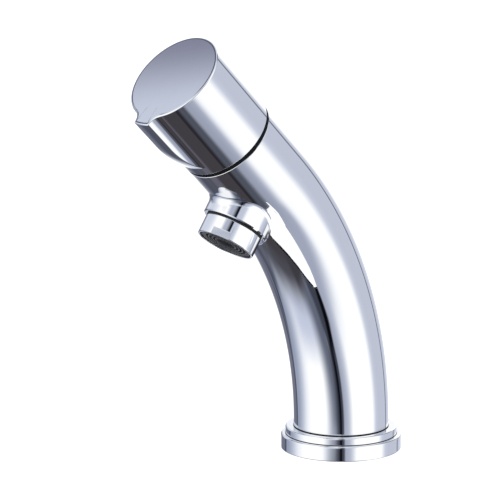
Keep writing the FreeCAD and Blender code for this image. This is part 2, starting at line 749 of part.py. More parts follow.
def aerator_insert():
    """Plastic jet insert: an outer wall with a flange, and rings on radial webs inside it."""
    inner = insert_radius - insert_wall
    flange_radius_top = aerator_thread_radius - housing_bore_wall - 2 * fit_gap
    body = collar(inner, insert_radius, insert_recess, screen_foot)
    body = body.fuse(collar(inner, flange_radius_top, insert_flange_foot, screen_foot))
    rings = []
    for count in range(insert_rings):
        outer = inner - insert_ring_pitch / 2 - count * insert_ring_pitch
        rings.append(collar(outer - insert_ring_width, outer, insert_recess, diffuser_foot))
    innermost = inner - insert_ring_pitch / 2 - (insert_rings - 1) * insert_ring_pitch - insert_ring_width / 2
    web = block(innermost, inner + insert_wall / 2, -insert_ring_width / 2, insert_ring_width / 2,
                diffuser_foot - insert_web_height, diffuser_foot)
    webs = [web.rotated(ORIGIN, UP, 90 + 360 / insert_web_count * turn) for turn in range(insert_web_count)]
    return placed(body.fuse(rings + webs), OUTLET)


def perforated(plate, foot, top):
    """The plate with rings of small holes round its axis."""
    holes = []
    for ring in range(1, mesh_rings + 1):
        for turn in range(6 * ring):
            x, y = polar(ring * mesh_ring_pitch, 60 / ring * turn)
            holes.append(Part.makeCylinder(mesh_hole_radius, top - foot, Vector(x, y, foot)))
    return plate.cut(holes)


def aerator_diffuser():
    """Perforated disc on the insert's rings."""
    top = diffuser_foot + diffuser_height
    plate = disc(insert_radius - insert_wall - fit_gap, diffuser_foot, top)
    return placed(perforated(plate, diffuser_foot, top), OUTLET)


def aerator_screen():
    """Fine screen on top of the insert."""
    radius = aerator_thread_radius - housing_bore_wall - 2 * fit_gap
    return placed(perforated(disc(radius, screen_foot, thread_end), screen_foot, thread_end), OUTLET)


def aerator_washer():
    """Rubber washer between the aerator and the end of the boss's thread."""
    outer = aerator_thread_radius - fit_gap
    return placed(collar(outer - aerator_washer_width, outer, thread_end, outlet_bore_foot), OUTLET)


PIECES = [body_shell, base_flange, base_ring, base_gasket, foot_insert, foot_o_ring, inlet_strainer,
          glide_ring, headwork_body, headwork_gasket, seat_seal, ceramic_disc_fixed, thrust_washer,
          aerator_housing, aerator_insert, aerator_diffuser, aerator_screen, aerator_washer,
          ceramic_disc_moving, spindle, spindle_o_rings, stop_ring, spindle_clip, knob_hub,
          knob_grub_screw, knob_shell]

for piece in PIECES:
    shape = piece()
    shape.exportStep(f"parts/{piece.__name__}.step")
    volume = f"{shape.Volume / 1000:.3f} cm3"
    print(f"{piece.__name__}: {len(shape.Solids)} solid(s), {volume}, valid {shape.isValid()}")
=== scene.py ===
"""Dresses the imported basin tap: clean chromed skins on the CAD frame, finishes, studio, floor and camera.

Sizes are in millimetres, in the frame of the CAD model: +Z up, the outlet and the knob lean towards -Y.
"""

from __future__ import annotations

import json
import logging
import math
from collections.abc import Callable, Collection, Sequence
from dataclasses import dataclass, field
from enum import Enum
from itertools import product

import bpy
from mathutils import Matrix, Vector

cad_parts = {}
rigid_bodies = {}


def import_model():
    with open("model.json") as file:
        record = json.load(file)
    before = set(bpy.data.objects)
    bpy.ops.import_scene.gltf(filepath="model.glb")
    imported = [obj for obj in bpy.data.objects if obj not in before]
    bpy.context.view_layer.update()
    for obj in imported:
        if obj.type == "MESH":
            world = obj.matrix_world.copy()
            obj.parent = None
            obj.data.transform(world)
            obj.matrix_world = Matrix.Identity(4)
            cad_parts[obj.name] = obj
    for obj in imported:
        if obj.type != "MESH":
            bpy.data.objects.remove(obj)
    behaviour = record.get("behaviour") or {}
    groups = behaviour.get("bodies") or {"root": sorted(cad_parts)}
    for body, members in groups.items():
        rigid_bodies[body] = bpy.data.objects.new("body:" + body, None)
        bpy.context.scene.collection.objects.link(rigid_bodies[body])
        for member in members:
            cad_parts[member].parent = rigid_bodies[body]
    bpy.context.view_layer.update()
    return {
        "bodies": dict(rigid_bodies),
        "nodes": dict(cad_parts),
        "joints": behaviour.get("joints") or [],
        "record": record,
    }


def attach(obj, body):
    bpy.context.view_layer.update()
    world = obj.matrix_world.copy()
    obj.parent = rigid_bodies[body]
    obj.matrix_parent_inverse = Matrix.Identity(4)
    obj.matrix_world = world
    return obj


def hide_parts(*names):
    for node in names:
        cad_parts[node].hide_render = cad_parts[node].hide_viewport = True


LOG = logging.getLogger("basin_tap")
MM = 0.001
TINY = 1e-6
FULL_TURN = 2 * math.pi

# A point with the surface's normal there, and a colour with its opacity
Corner = tuple[Vector, Vector]
Colour = tuple[float, float, float, float]


def set_inputs(node: bpy.types.Node, values: dict[str, float | Sequence[float]]) -> None:
    """Sets unlinked inputs of a node by their names."""
    for name, value in values.items():
        node.inputs[name].default_value = value


# Frames of the tap

@dataclass(frozen=True)
class Frame:
    """A right-handed frame on the tap: an origin and three unit axes.

    Args:
        origin: the origin's place.
        side: the frame's X axis.
        front: the frame's Y axis.
        up: the frame's Z axis.
    """

    origin: Vector
    side: Vector
    front: Vector
    up: Vector

    def point(self, x: float, y: float, z: float) -> Vector:
        """Returns the place of a point given in this frame."""
        return self.origin + self.side * x + self.front * y + self.up * z

    def way(self, x: float, y: float, z: float) -> Vector:
        """Returns a direction given in this frame, as a unit vector."""
        return (self.side * x + self.front * y + self.up * z).normalized()

    def polar(self, radius: float, bearing: float, level: float) -> Vector:
        """Returns a point by radius, bearing (0 at -Y, towards +X) and level."""
        return self.point(radius * math.sin(bearing), -radius * math.cos(bearing), level)


@dataclass(frozen=True)
class TapLines:
    """The lines that the pieces share: the centre line of the tube and the outlet's axis.

    Args:
        tube_radius: outside radius of the tube.
        foot: level at which the tube starts, on the base ring.
        arc_foot: level at which the bend starts.
        arc_radius: radius of the bend.
        lean: angle of the head from the vertical, in degrees.
        neck: straight length between the bend and the rim.
        outlet_tilt: angle of the outlet's axis from the vertical, in degrees.
        outlet_drop: from the rim down to the outlet, along the head.
        outlet_margin: how far the mouth stands off the tube.
    """

    tube_radius: float = 21.5
    foot: float = 10.3
    arc_foot: float = 12.0
    arc_radius: float = 165.0
    lean: float = 45.0
    neck: float = 28.4
    outlet_tilt: float = 34.5
    outlet_drop: float = 26.3
    outlet_margin: float = 12.3

    @property
    def bend_start(self) -> float:
        """Length along the centre line at which the bend starts."""
        return self.arc_foot - self.foot

    @property
    def bend_end(self) -> float:
        """Length along the centre line at which the bend ends."""
        return self.bend_start + self.arc_radius * math.radians(self.lean)

    @property
    def length(self) -> float:
        """Length of the centre line from the foot to the rim."""
        return self.bend_end + self.neck

    def station(self, along: float) -> tuple[Vector, Vector]:
        """Finds a point of the centre line.

        Args:
            along: length from the foot.

        Returns:
            The point, and the direction away from the bend's centre there.
        """
        if along <= self.bend_start:
            return Vector((0, 0, self.foot + along)), Vector((0, 1, 0))
        angle = min((along - self.bend_start) / self.arc_radius, math.radians(self.lean))
        outward = Vector((0, math.cos(angle), math.sin(angle)))
        point = Vector((0, -self.arc_radius, self.arc_foot)) + outward * self.arc_radius
        past = along - self.bend_end
        if past > 0:
            point += Vector((0, -math.sin(angle), math.cos(angle))) * past
        return point, outward

    def surface(self, along: float, bearing: float) -> Corner:
        """Finds a point of the tube's outside, with the normal there.

        Args:
            along: length along the centre line.
            bearing: angle round the tube, 0 on the inside of the bend, towards +X.

        Returns:
            The point and the outward normal.
        """
        centre, outward = self.station(along)
        normal = Vector((math.sin(bearing), 0, 0)) - outward * math.cos(bearing)
        return centre + normal * self.tube_radius, normal

    def foot_point(self, point: Vector) -> tuple[float, Vector]:
        """Finds the centre line's nearest point.

        Args:
            point: any point near the tube.

        Returns:
            The length along the centre line and the point there.
        """
        y, z = point.y + self.arc_radius, point.z - self.arc_foot
        angle = math.atan2(z, y)
        if angle <= 0:
            along = self.bend_start + z
        elif angle < math.radians(self.lean):
            along = self.bend_start + angle * self.arc_radius
        else:
            head = self.head()
            along = self.length + (point - head.origin).dot(head.up)
        return along, self.station(along)[0]

    def head(self) -> Frame:
        """Gives the head's frame.

        Returns:
            The frame, with its origin in the rim's plane and Z along the knob's axis.
        """
        lean = math.radians(self.lean)
        centre, outward = self.station(self.length)
        return Frame(centre, Vector((1, 0, 0)), outward, Vector((0, -math.sin(lean), math.cos(lean))))

    def outlet(self) -> Frame:
        """Gives the outlet's frame.

        Returns:
            The frame, with its origin in the mouth's plane and Z up into the tube.
        """
        tilt = math.radians(self.outlet_tilt)
        skew = math.radians(90 - self.lean - self.outlet_tilt)
        reach = self.tube_radius / math.cos(skew) + self.outlet_margin
        head = self.head()
        mouth = head.point(0, -math.cos(skew) * reach, -self.outlet_drop - math.sin(skew) * reach)
        return Frame(mouth, Vector((1, 0, 0)), Vector((0, math.cos(tilt), -math.sin(tilt))),
                     Vector((0, math.sin(tilt), math.cos(tilt))))

    def base(self) -> Frame:
        """Returns the base's frame, which is the tap's own."""
        return Frame(Vector((0, 0, 0)), Vector((1, 0, 0)), Vector((0, 1, 0)), Vector((0, 0, 1)))


# Meshes made from rows of points, for mirror-like skins

# Points in the same or neighbouring cells of a grid with so many cells per mm are joined
JOINS_PER_MM = 2000


@dataclass
class Skin:
    """A closed mesh made from bands of points, each with the true normal of its surface.

    Chrome shows every error of a normal, and the operators leave such errors where a fillet meets a
    tube, so the large chromed skins are made this way.

    Args:
        name: name of the piece.
    """

    name: str
    points: list[Vector] = field(default_factory=list)
    index: dict[tuple[int, int, int], int] = field(default_factory=dict)
    faces: list[list[int]] = field(default_factory=list)
    normals: list[list[Vector]] = field(default_factory=list)

    def vertex(self, point: Vector) -> int:
        """Returns the number of the vertex at a point, which is made if none lies close by.

        Args:
            point: the point, in mm.

        Returns:
            The vertex's number.
        """
        key = (round(point.x * JOINS_PER_MM), round(point.y * JOINS_PER_MM), round(point.z * JOINS_PER_MM))
        if key not in self.index:
            cells = product(*((part - 1, part, part + 1) for part in key))
            near = [cell for cell in cells if cell in self.index]
            if near:
                self.index[key] = self.index[near[0]]
            else:
                self.index[key] = len(self.points)
                self.points.append(point)
        return self.index[key]

    def face(self, corners: Sequence[Corner]) -> None:
        """Adds a face, without the corners that coincide.

        Args:
            corners: points with their normals, in order round the face.
        """
        numbers: list[int] = []
        normals: list[Vector] = []
        for point, normal in corners:
            number = self.vertex(point)
            if number not in numbers:
                numbers.append(number)
                normals.append(normal)
        if len(numbers) < 3:
            return
        spots = [self.points[number] for number in numbers]
        facing = (spots[2] - spots[0]).cross(spots[-1] - spots[1])
        if facing.dot(sum(normals, Vector((0, 0, 0)))) < 0:
            numbers.reverse()
            normals.reverse()
        self.faces.append(numbers)
        self.normals.append(normals)

    def band(self, lower: Sequence[Corner], upper: Sequence[Corner],
             left_out: Collection[int] = ()) -> None:
        """Joins two closed rows of points by faces.

        Args:
            lower: the first row.
            upper: the second row, with as many points.
            left_out: numbers of the faces that are left out.
        """
        for here in range(len(lower)):
            if here not in left_out:
                after = (here + 1) % len(lower)
                self.face((lower[here], lower[after], upper[after], upper[here]))

    def bands(self, rows: Sequence[Sequence[Corner]]) -> None:
        """Joins each row to the next."""
        for lower, upper in zip(rows, rows[1:]):
            self.band(lower, upper)

    def fan(self, row: Sequence[Corner], centre: Corner) -> None:
        """Closes a row of points by faces to a centre."""
        for here in range(len(row)):
            self.face((row[here], row[(here + 1) % len(row)], centre))

    def turned(self, frame: Frame, profile: Sequence[tuple[float, float]], bearings: Sequence[float],
               inward: bool = False) -> None:
        """Adds a surface of straight lines turned about a frame's axis.

        Args:
            frame: the frame whose Z axis is the axis.
            profile: pairs of radius and level.
            bearings: the bearings of the rows' points.
            inward: whether the normals point the other way, as on a hollow's wall walked from its mouth.
        """
        for (radius, level), (next_radius, next_level) in zip(profile, profile[1:]):
            slope = Vector((next_level - level, radius - next_radius))
            slope.normalize()
            if inward:
                slope = -slope
            rows = []
            for ring, height in ((radius, level), (next_radius, next_level)):
                rows.append([(frame.polar(ring, bearing, height),
                              frame.way(slope.x * math.sin(bearing), -slope.x * math.cos(bearing), slope.y))
                             for bearing in bearings])
            if next_radius < TINY:
                self.fan(rows[0], rows[1][0])
            elif radius < TINY:
                self.fan(rows[1], rows[0][0])
            else:
                self.bands(rows)

    def rounded(self, frame: Frame, radius: float, level: float, round_radius: float, start: float,
                end: float, bearings: Sequence[float], steps: int = 6) -> None:
        """Adds a rounded edge turned about a frame's axis.

        Args:
            frame: the frame whose Z axis is the axis.
            radius: radius at the centre of the rounding.
            level: level of the centre of the rounding.
            round_radius: radius of the rounding.
            start: first angle of the rounding, in degrees, 0 outwards and 90 up.
            end: last angle, in degrees.
            bearings: the bearings of the rows' points.
            steps: number of bands.
        """
        rows = []
        for step in range(steps + 1):
            angle = math.radians(start + (end - start) * step / steps)
            out, up = math.cos(angle), math.sin(angle)
            rows.append([(frame.polar(radius + out * round_radius, bearing, level + up * round_radius),
                          frame.way(out * math.sin(bearing), -out * math.cos(bearing), up))
                         for bearing in bearings])
        self.bands(rows)

    def build(self) -> bpy.types.Object:
        """Makes the mesh object, in metres, with its normals.

        Returns:
            The object, at the origin.
        """
        mesh = bpy.data.meshes.new(self.name)
        mesh.from_pydata([point * MM for point in self.points], [], self.faces)
        mesh.shade_smooth()
        mesh.normals_split_custom_set([normal for face in self.normals for normal in face])
        mesh.update()
        piece = bpy.data.objects.new(self.name, mesh)
        bpy.context.scene.collection.objects.link(piece)
        return piece


def slerp(first: Vector, second: Vector, share: float) -> Vector:
    """Turns a unit vector a share of the way to another.

    Args:
        first: the first unit vector.
        second: the second one.
        share: 0 for the first, 1 for the second.

    Returns:
        The unit vector between them.
    """
    angle = first.angle(second)
    if angle < TINY:
        return first.copy()
    return (first * math.sin((1 - share) * angle) + second * math.sin(share * angle)) / math.sin(angle)


def soft_step(share: float) -> float:
    """Returns a share from 0 to 1 with a smooth start and end."""
    share = min(max(share, 0.0), 1.0)
    return share * share * (3 - 2 * share)


def bisect(low: float, high: float, inside: Callable[[float], bool], halvings: int = 48) -> float:
    """Finds where a test changes.

    Args:
        low: a value at which the test holds.
        high: a value at which it doesn't.
        inside: the test.
        halvings: how often the stretch between them is halved.

    Returns:
        The value between them at which it changes.
    """
    for _ in range(halvings):
        middle = (low + high) / 2
        if inside(middle):
            low = middle
        else:
            high = middle
    return (low + high) / 2


@dataclass(frozen=True)
class Spot:
    """A place on the edge of a grid's window.

    Args:
        level: its level along the surface.
        bearing: its bearing, without a jump along the edge.
        corner: the grid's own corner there.
    """

    level: float
    bearing: float
    corner: Corner


@dataclass(frozen=True)
class Grid:
    """A grid round a tube-like surface with a rectangular window left out of it.

    Args:
        levels: the levels of its rows.
        bearings: the bearings of each row's corners.
        corners: the rows of corners.
        row_window: first and last row of the window.
        bearing_window: first and last corner of the window, which may run past the end of a row.
    """

    levels: Sequence[float]
    bearings: Sequence[float]
    corners: Sequence[Sequence[Corner]]
    row_window: tuple[int, int]
    bearing_window: tuple[int, int]

    def lay(self, skin: Skin) -> None:
        """Adds the grid to a skin, without the window.

        Args:
            skin: the skin that takes the bands.
        """
        low, high = self.row_window
        window = {step % len(self.bearings) for step in range(*self.bearing_window)}
        for row, (lower, upper) in enumerate(zip(self.corners, self.corners[1:])):
            skin.band(lower, upper, window if low <= row < high else ())

    def perimeter(self) -> list[Spot]:
        """Walks along the window's edge.

        Returns:
            The edge's spots, once round.
        """
        low, high = self.row_window
        first, last = self.bearing_window
        places = [(low, step) for step in range(first, last)]
        places += [(row, last) for row in range(low, high)]
        places += [(high, step) for step in range(last, first, -1)]
        places += [(row, first) for row in range(high, low, -1)]
        spots = []
        for row, step in places:
            turns, here = divmod(step, len(self.bearings))
            spots.append(Spot(self.levels[row], self.bearings[here] + FULL_TURN * turns,
                              self.corners[row][here]))
        return spots


# Finishes

class Surface(Enum):
    """How a finish's fine surface is made."""

    PLATED = "plated"
    TURNED = "turned"
    MOULDED = "moulded"
    RUBBER = "rubber"
    GLAZED = "glazed"
    DRAWN = "drawn"


# How the fine pattern is drawn out along X by the tools
TOOL_MARKS = {Surface.TURNED: 0.15, Surface.DRAWN: 0.06}

# Detail of the slow variation and of the fine pattern, and the range that most of a pattern's values keep
CLOUD_DETAIL = 3.0
GRAIN_DETAIL = 2.0
PATTERN_RANGE = (0.25, 0.75)


@dataclass(frozen=True)
class Finish:
    """A procedural finish.

    Args:
        name: name of the material.
        surface: how the fine surface is made.
        colour: the main colour, in linear values.
        second: the colour that it varies towards.
        metallic: 1 for bare metal.
        roughness: least and greatest roughness.
        grain: size of the fine pattern, in mm.
        relief: height of the fine pattern, in mm.
        cloud: size of the slow variation, in mm.
        gleam: strength of the highlights on what is no metal.
    """

    name: str
    surface: Surface
    colour: tuple[float, float, float]
    second: tuple[float, float, float]
    metallic: float
    roughness: tuple[float, float]
    grain: float
    relief: float
    cloud: float = 30.0
    gleam: float = 0.5

    def material(self) -> bpy.types.Material:
        """Makes the material.

        Returns:
            A node material that reads Object coordinates.
        """
        material = bpy.data.materials.new(self.name)
        material.use_nodes = True
        tree = material.node_tree
        shader = tree.nodes["Principled BSDF"]
        set_inputs(shader, {"Metallic": self.metallic, "Specular IOR Level": self.gleam})
        place = tree.nodes.new("ShaderNodeTexCoord").outputs["Object"]

        clouds = tree.nodes.new("ShaderNodeTexNoise")
        set_inputs(clouds, {"Scale": 1 / (self.cloud * MM), "Detail": CLOUD_DETAIL})
        tree.links.new(place, clouds.inputs["Vector"])

        mix = tree.nodes.new("ShaderNodeMix")
        mix.data_type = "RGBA"
        mix.inputs[6].default_value = (*self.colour, 1)
        mix.inputs[7].default_value = (*self.second, 1)
        tree.links.new(clouds.outputs["Fac"], mix.inputs[0])
        tree.links.new(mix.outputs[2], shader.inputs["Base Color"])

        grain = self.fine_pattern(tree, place)
        low, high = PATTERN_RANGE
        least, greatest = self.roughness
        spread = tree.nodes.new("ShaderNodeMapRange")
        set_inputs(spread, {"From Min": low, "From Max": high, "To Min": least, "To Max": greatest})
        tree.links.new(clouds.outputs["Fac"] if self.surface is Surface.PLATED else grain,
                       spread.inputs["Value"])
        tree.links.new(spread.outputs["Result"], shader.inputs["Roughness"])

        bump = tree.nodes.new("ShaderNodeBump")
        set_inputs(bump, {"Distance": self.relief * MM, "Strength": 1.0})
        tree.links.new(grain, bump.inputs["Height"])
        tree.links.new(bump.outputs["Normal"], shader.inputs["Normal"])
        return material

    def fine_pattern(self, tree: bpy.types.NodeTree, place: bpy.types.NodeSocket) -> bpy.types.NodeSocket:
        """Adds the fine pattern's nodes.

        Args:
            tree: the material's nodes.
            place: the socket with the Object coordinates.

        Returns:
            The socket that gives the pattern's height.
        """
        moulded = self.surface is Surface.MOULDED
        pattern = tree.nodes.new("ShaderNodeTexVoronoi" if moulded else "ShaderNodeTexNoise")
        pattern.inputs["Scale"].default_value = 1 / (self.grain * MM)
        if not moulded:
            pattern.inputs["Detail"].default_value = GRAIN_DETAIL
        if self.surface in TOOL_MARKS:
            stretch = tree.nodes.new("ShaderNodeMapping")
            stretch.inputs["Scale"].default_value = (TOOL_MARKS[self.surface], 1.0, 1.0)
            tree.links.new(place, stretch.inputs["Vector"])
            place = stretch.outputs["Vector"]
        tree.links.new(place, pattern.inputs["Vector"])
        return pattern.outputs["Distance" if moulded else "Fac"]


CHROME = Finish("chromium plating", Surface.PLATED, (0.86, 0.865, 0.885), (0.83, 0.84, 0.87), 1.0,
                (0.025, 0.045), 9.0, 0.0008)
BRASS = Finish("machined brass", Surface.TURNED, (0.72, 0.53, 0.24), (0.62, 0.44, 0.18), 1.0,
               (0.18, 0.32), 0.6, 0.01)
RUBBER = Finish("black rubber", Surface.RUBBER, (0.012, 0.012, 0.013), (0.02, 0.02, 0.02), 0.0,
                (0.55, 0.75), 0.3, 0.01, gleam=0.3)
BLACK_ACETAL = Finish("black acetal", Surface.MOULDED, (0.004, 0.004, 0.005), (0.007, 0.007, 0.008), 0.0,
                      (0.55, 0.65), 0.4, 0.004, gleam=0.06)
GREY_PLASTIC = Finish("dark grey moulded plastic", Surface.MOULDED, (0.03, 0.03, 0.034),
                      (0.045, 0.045, 0.05), 0.0, (0.35, 0.5), 0.3, 0.006)
WHITE_PLASTIC = Finish("white moulded plastic", Surface.MOULDED, (0.78, 0.78, 0.75), (0.7, 0.7, 0.68), 0.0,
                       (0.35, 0.5), 0.4, 0.006)
CERAMIC = Finish("polished ceramic", Surface.GLAZED, (0.85, 0.84, 0.8), (0.8, 0.79, 0.75), 0.0,
                 (0.08, 0.15), 0.5, 0.001)
STEEL = Finish("stainless steel", Surface.DRAWN, (0.55, 0.55, 0.56), (0.46, 0.46, 0.47), 1.0,
               (0.2, 0.35), 0.5, 0.006)

FINISH_OF_SLOT = {
    "body_chrome": CHROME,
    "base_chrome": CHROME,
    "knob_chrome": CHROME,
    "aerator_chrome": CHROME,
    "plain_brass": BRASS,
    "seal_rubber": RUBBER,
    "black_plastic": BLACK_ACETAL,
    "grey_plastic": GREY_PLASTIC,
    "white_plastic": WHITE_PLASTIC,
    "disc_ceramic": CERAMIC,
    "stainless": STEEL,
}


class Workshop:
    """Keeps the frame and the materials, and hands pieces over to the frame."""

    def __init__(self, frame: dict) -> None:
        """Makes one material for each finish.
        """
        self.frame = frame
        self.materials = {finish.name: finish.material() for finish in FINISH_OF_SLOT.values()}
        self.slots = {row["node"]: row["material_slot"] for row in frame["record"]["subparts"]}

    def dress(self, piece: bpy.types.Object, slot: str) -> None:
        """Gives a piece the finish of a material slot."""
        piece.data.materials.clear()
        piece.data.materials.append(self.materials[FINISH_OF_SLOT[slot].name])

    def add(self, piece: bpy.types.Object, slot: str, body: str) -> None:
        """Adds a new piece.

        Args:
            piece: the new piece.
            slot: the material slot of its finish.
            body: the body that it moves with.
        """
        self.dress(piece, slot)
        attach(piece, body)
        LOG.info("%s: %d faces, moves with %s", piece.name, len(piece.data.polygons), body)

    def hand_over(self, piece: bpy.types.Object, node: str, body: str) -> None:
        """Adds a new piece in a CAD node's place.

        Args:
            piece: the new piece.
            node: the CAD node that it stands for.
            body: the body that it moves with.
        """
        self.add(piece, self.slots[node], body)
        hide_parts(node)
        LOG.info("%s stands for %s", piece.name, node)

    def keep(self, node: str) -> None:
        """Keeps a CAD node and gives it its finish."""
        self.dress(self.frame["nodes"][node], self.slots[node])
        LOG.info("%s: CAD node, finished as %s", node, self.slots[node])


# Body

@dataclass
class BodySkin:
    """The tube with its bend, its rim and the outlet's boss, which flows into the tube.

    Args:
        lines: the tap's lines.
        around: number of points round the tube.
        row_step: about the distance between rows.
        rim_chamfer: chamfer of the rim's outer edge.
        foot_round: rounding of the tube's foot.
        boss_radius: radius of the boss.
        blend: radius of the fillet between boss and tube, at the front and at the rear.
        blend_turn: bearings between which it falls from the one to the other, in degrees.
        ball_search: level at which the search for the fillet's centre starts, and its step.
        collar: level of the boss's end above the mouth.
        collar_chamfer: chamfer of that end.
        facing_radius: radius of the tool that faced it.
        facing_reach: how far above the chamfer that tool may still cut the fillet.
        outlet_bore: radius of the bore that takes the aerator.
        outlet_cup: radii and levels of the hollow above the mouth.
        head_cup: radii and levels of the hollow under the rim.
        foot_bore: radius of the bore in the foot, and its top level.
        window: half the length and half the turn, in degrees, of the stretch of tube round the boss.
    """

    lines: TapLines
    around: int = 192
    row_step: float = 2.0
    rim_chamfer: float = 0.15
    foot_round: float = 0.4
    boss_radius: float = 14.7
    blend: tuple[float, float] = (3.6, 1.2)
    blend_turn: tuple[float, float] = (95.0, 130.0)
    ball_search: tuple[float, float] = (-12.0, 0.5)
    collar: float = 9.35
    collar_chamfer: float = 0.5
    facing_radius: float = 14.9
    facing_reach: float = 0.5
    outlet_bore: float = 12.0
    outlet_cup: tuple[tuple[float, float], ...] = ((12.0, 9.35), (12.0, 16.65), (9.0, 16.65), (9.0, 18.0),
                                                   (0.0, 18.0))
    head_cup: tuple[tuple[float, float], ...] = ((21.35, -0.25), (20.0, -0.25), (20.0, -2.5), (15.6, -2.5),
                                                 (15.6, -8.5), (10.48, -8.5), (10.48, -19.0), (13.5, -19.0),
                                                 (13.5, -38.5), (5.4, -38.5), (5.4, -42.0), (0.0, -42.0))
    foot_bore: tuple[float, float] = (17.5, 28.0)
    window: tuple[float, float] = (20.5, 54.0)

    def bearings(self) -> list[float]:
        """Returns the bearings round the tube, from the front towards +X."""
        return [FULL_TURN * step / self.around for step in range(self.around)]

    def rows(self) -> list[float]:
        """Spaces the tube's rows along its centre line.

        Returns:
            The levels of the rows, from the foot to the rim.
        """
        start, end = self.foot_round, self.lines.length + self.head_cup[0][1] - self.rim_chamfer
        count = round((end - start) / self.row_step)
        return [start + (end - start) * step / count for step in range(count + 1)]

    @property
    def collar_edge(self) -> float:
        """Radius of the boss's end inside its chamfer."""
        return self.boss_radius - self.collar_chamfer

    def cone_radius(self, level: float) -> float:
        """Gives the cut of the tool that faced the boss's end.

        Args:
            level: level above the mouth.

        Returns:
            The radius within which the tool cut at that level.
        """
        if level <= self.collar:
            return self.facing_radius
        return min(self.facing_radius, self.collar_edge + level - self.collar)

    def blend_at(self, bearing: float) -> float:
        """Gives the fillet's radius, which falls where the boss runs into the bend.

        Args:
            bearing: bearing round the outlet's axis.

        Returns:
            The radius there.
        """
        turn = math.degrees(abs((bearing + math.pi) % FULL_TURN - math.pi))
        start, end = self.blend_turn
        front, rear = self.blend
        return front + (rear - front) * soft_step((turn - start) / (end - start))

    def ball(self, bearing: float) -> tuple[Vector, Vector, Vector, float]:
        """Places the ball that rolls between boss and tube.

        Args:
            bearing: bearing round the outlet's axis.

        Returns:
            The ball's centre, the directions to the boss and to the tube, and the centre's level.
        """
        outlet = self.lines.outlet()
        radius = self.boss_radius + self.blend_at(bearing)
        reach = self.lines.tube_radius + self.blend_at(bearing)

        def clear(level: float) -> bool:
            """Tells whether the ball clears the tube when its centre is at a level."""
            point = outlet.polar(radius, bearing, level)
            return (point - self.lines.foot_point(point)[1]).length > reach

        level, step = self.ball_search
        while clear(level):
            level += step
        level = bisect(level - step, level, clear)
        centre = outlet.polar(radius, bearing, level)
        to_boss = outlet.way(-math.sin(bearing), math.cos(bearing), 0)
        to_tube = (self.lines.foot_point(centre)[1] - centre).normalized()
        return centre, to_boss, to_tube, level

    def outlet_rows(self, bearing: float, steps: int = 14) -> tuple[list[list[Corner]], float]:
        """Makes one line of points from the collar over the fillet to the tube.

        Args:
            bearing: bearing round the outlet's axis.
            steps: number of steps over the fillet.

        Returns:
            The line's pieces, each a list of corners, the last on the tube, and the bearing at its start.
        """
        outlet = self.lines.outlet()
        centre, to_boss, to_tube, level = self.ball(bearing)
        corner_level = self.collar + self.collar_chamfer
        faced = level < corner_level

        def on_ball(share: float) -> Corner:
            """Returns the ball's corner a share of the way from the boss to the tube."""
            way = slerp(to_boss, to_tube, share)
            return centre + way * self.blend_at(bearing), -way

        def cut_away(share: float) -> bool:
            """Tells whether the facing tool cut a point of the ball away.

            Args:
                share: how far the point lies on the way to the tube, from 0 to 1.

            Returns:
                Whether the tool cut it.
            """
            point = on_ball(share)[0] - outlet.origin
            height = point.dot(outlet.up)
            radius = (point - outlet.up * height).length
            return height < corner_level + self.facing_reach and radius < self.cone_radius(height)

        start = bisect(0.0, 1.0, cut_away) if faced else 0.0
        first = on_ball(start)[0]
        arm = first - outlet.origin
        height = arm.dot(outlet.up)
        arm -= outlet.up * height
        out = arm.normalized()
        turn = math.atan2(out.dot(outlet.side), -out.dot(outlet.front))
        if faced:
            wall_radius, wall_normal = min(arm.length, self.facing_radius), -out
            wall_level = max(height, self.collar + wall_radius - self.collar_edge)
        else:
            wall_radius, wall_level, wall_normal = self.boss_radius, corner_level, out
        slant = (out - outlet.up).normalized()
        bore = outlet.polar(self.outlet_bore, turn, self.collar)
        collar = outlet.origin + outlet.up * self.collar + out * self.collar_edge
        wall = outlet.origin + outlet.up * wall_level + out * wall_radius
        fillet = [on_ball(start + (1 - start) * step / steps) for step in range(steps + 1)]
        return [[(bore, -outlet.up), (collar, -outlet.up)], [(collar, slant), (wall, slant)],
                [(wall, wall_normal), (first, wall_normal)], fillet], turn

    def build(self) -> bpy.types.Object:
        """Builds the skin.

        Returns:
            The piece.
        """
        lines, skin = self.lines, Skin("body_skin")
        head, base = lines.head(), lines.base()
        bearings, rows = self.bearings(), self.rows()
        middle = lines.foot_point(lines.outlet().point(0, 0, lines.outlet_margin))[0]
        half_length, half_turn = self.window
        low = max(step for step, level in enumerate(rows) if level < middle - half_length)
        high = min(step for step, level in enumerate(rows) if level > middle + half_length)
        wide = round(self.around * half_turn / 360)
        corners = [[lines.surface(level, bearing) for bearing in bearings] for level in rows]
        grid = Grid(rows, bearings, corners, (low, high), (self.around - wide, self.around + wide))
        grid.lay(skin)
        self.lay_outlet(skin, grid, (rows[low] + rows[high]) / 2)

        rim_radius, rim_level = self.head_cup[0]
        ways = [head.way(math.sin(bearing), -math.cos(bearing), 1) for bearing in bearings]
        edge = [(point, way) for (point, _), way in zip(corners[-1], ways)]
        top = [(head.polar(rim_radius, bearing, rim_level), way) for bearing, way in zip(bearings, ways)]
        skin.band(edge, top)
        skin.turned(head, self.head_cup, bearings)

        foot = lines.foot
        skin.rounded(base, lines.tube_radius - self.foot_round, foot + self.foot_round, self.foot_round, -90,
                     0, bearings, steps=4)
        bore, bore_top = self.foot_bore
        skin.turned(base, ((0.0, bore_top), (bore, bore_top), (bore, foot),
                           (lines.tube_radius - self.foot_round, foot)), bearings, inward=True)
        return skin.build()

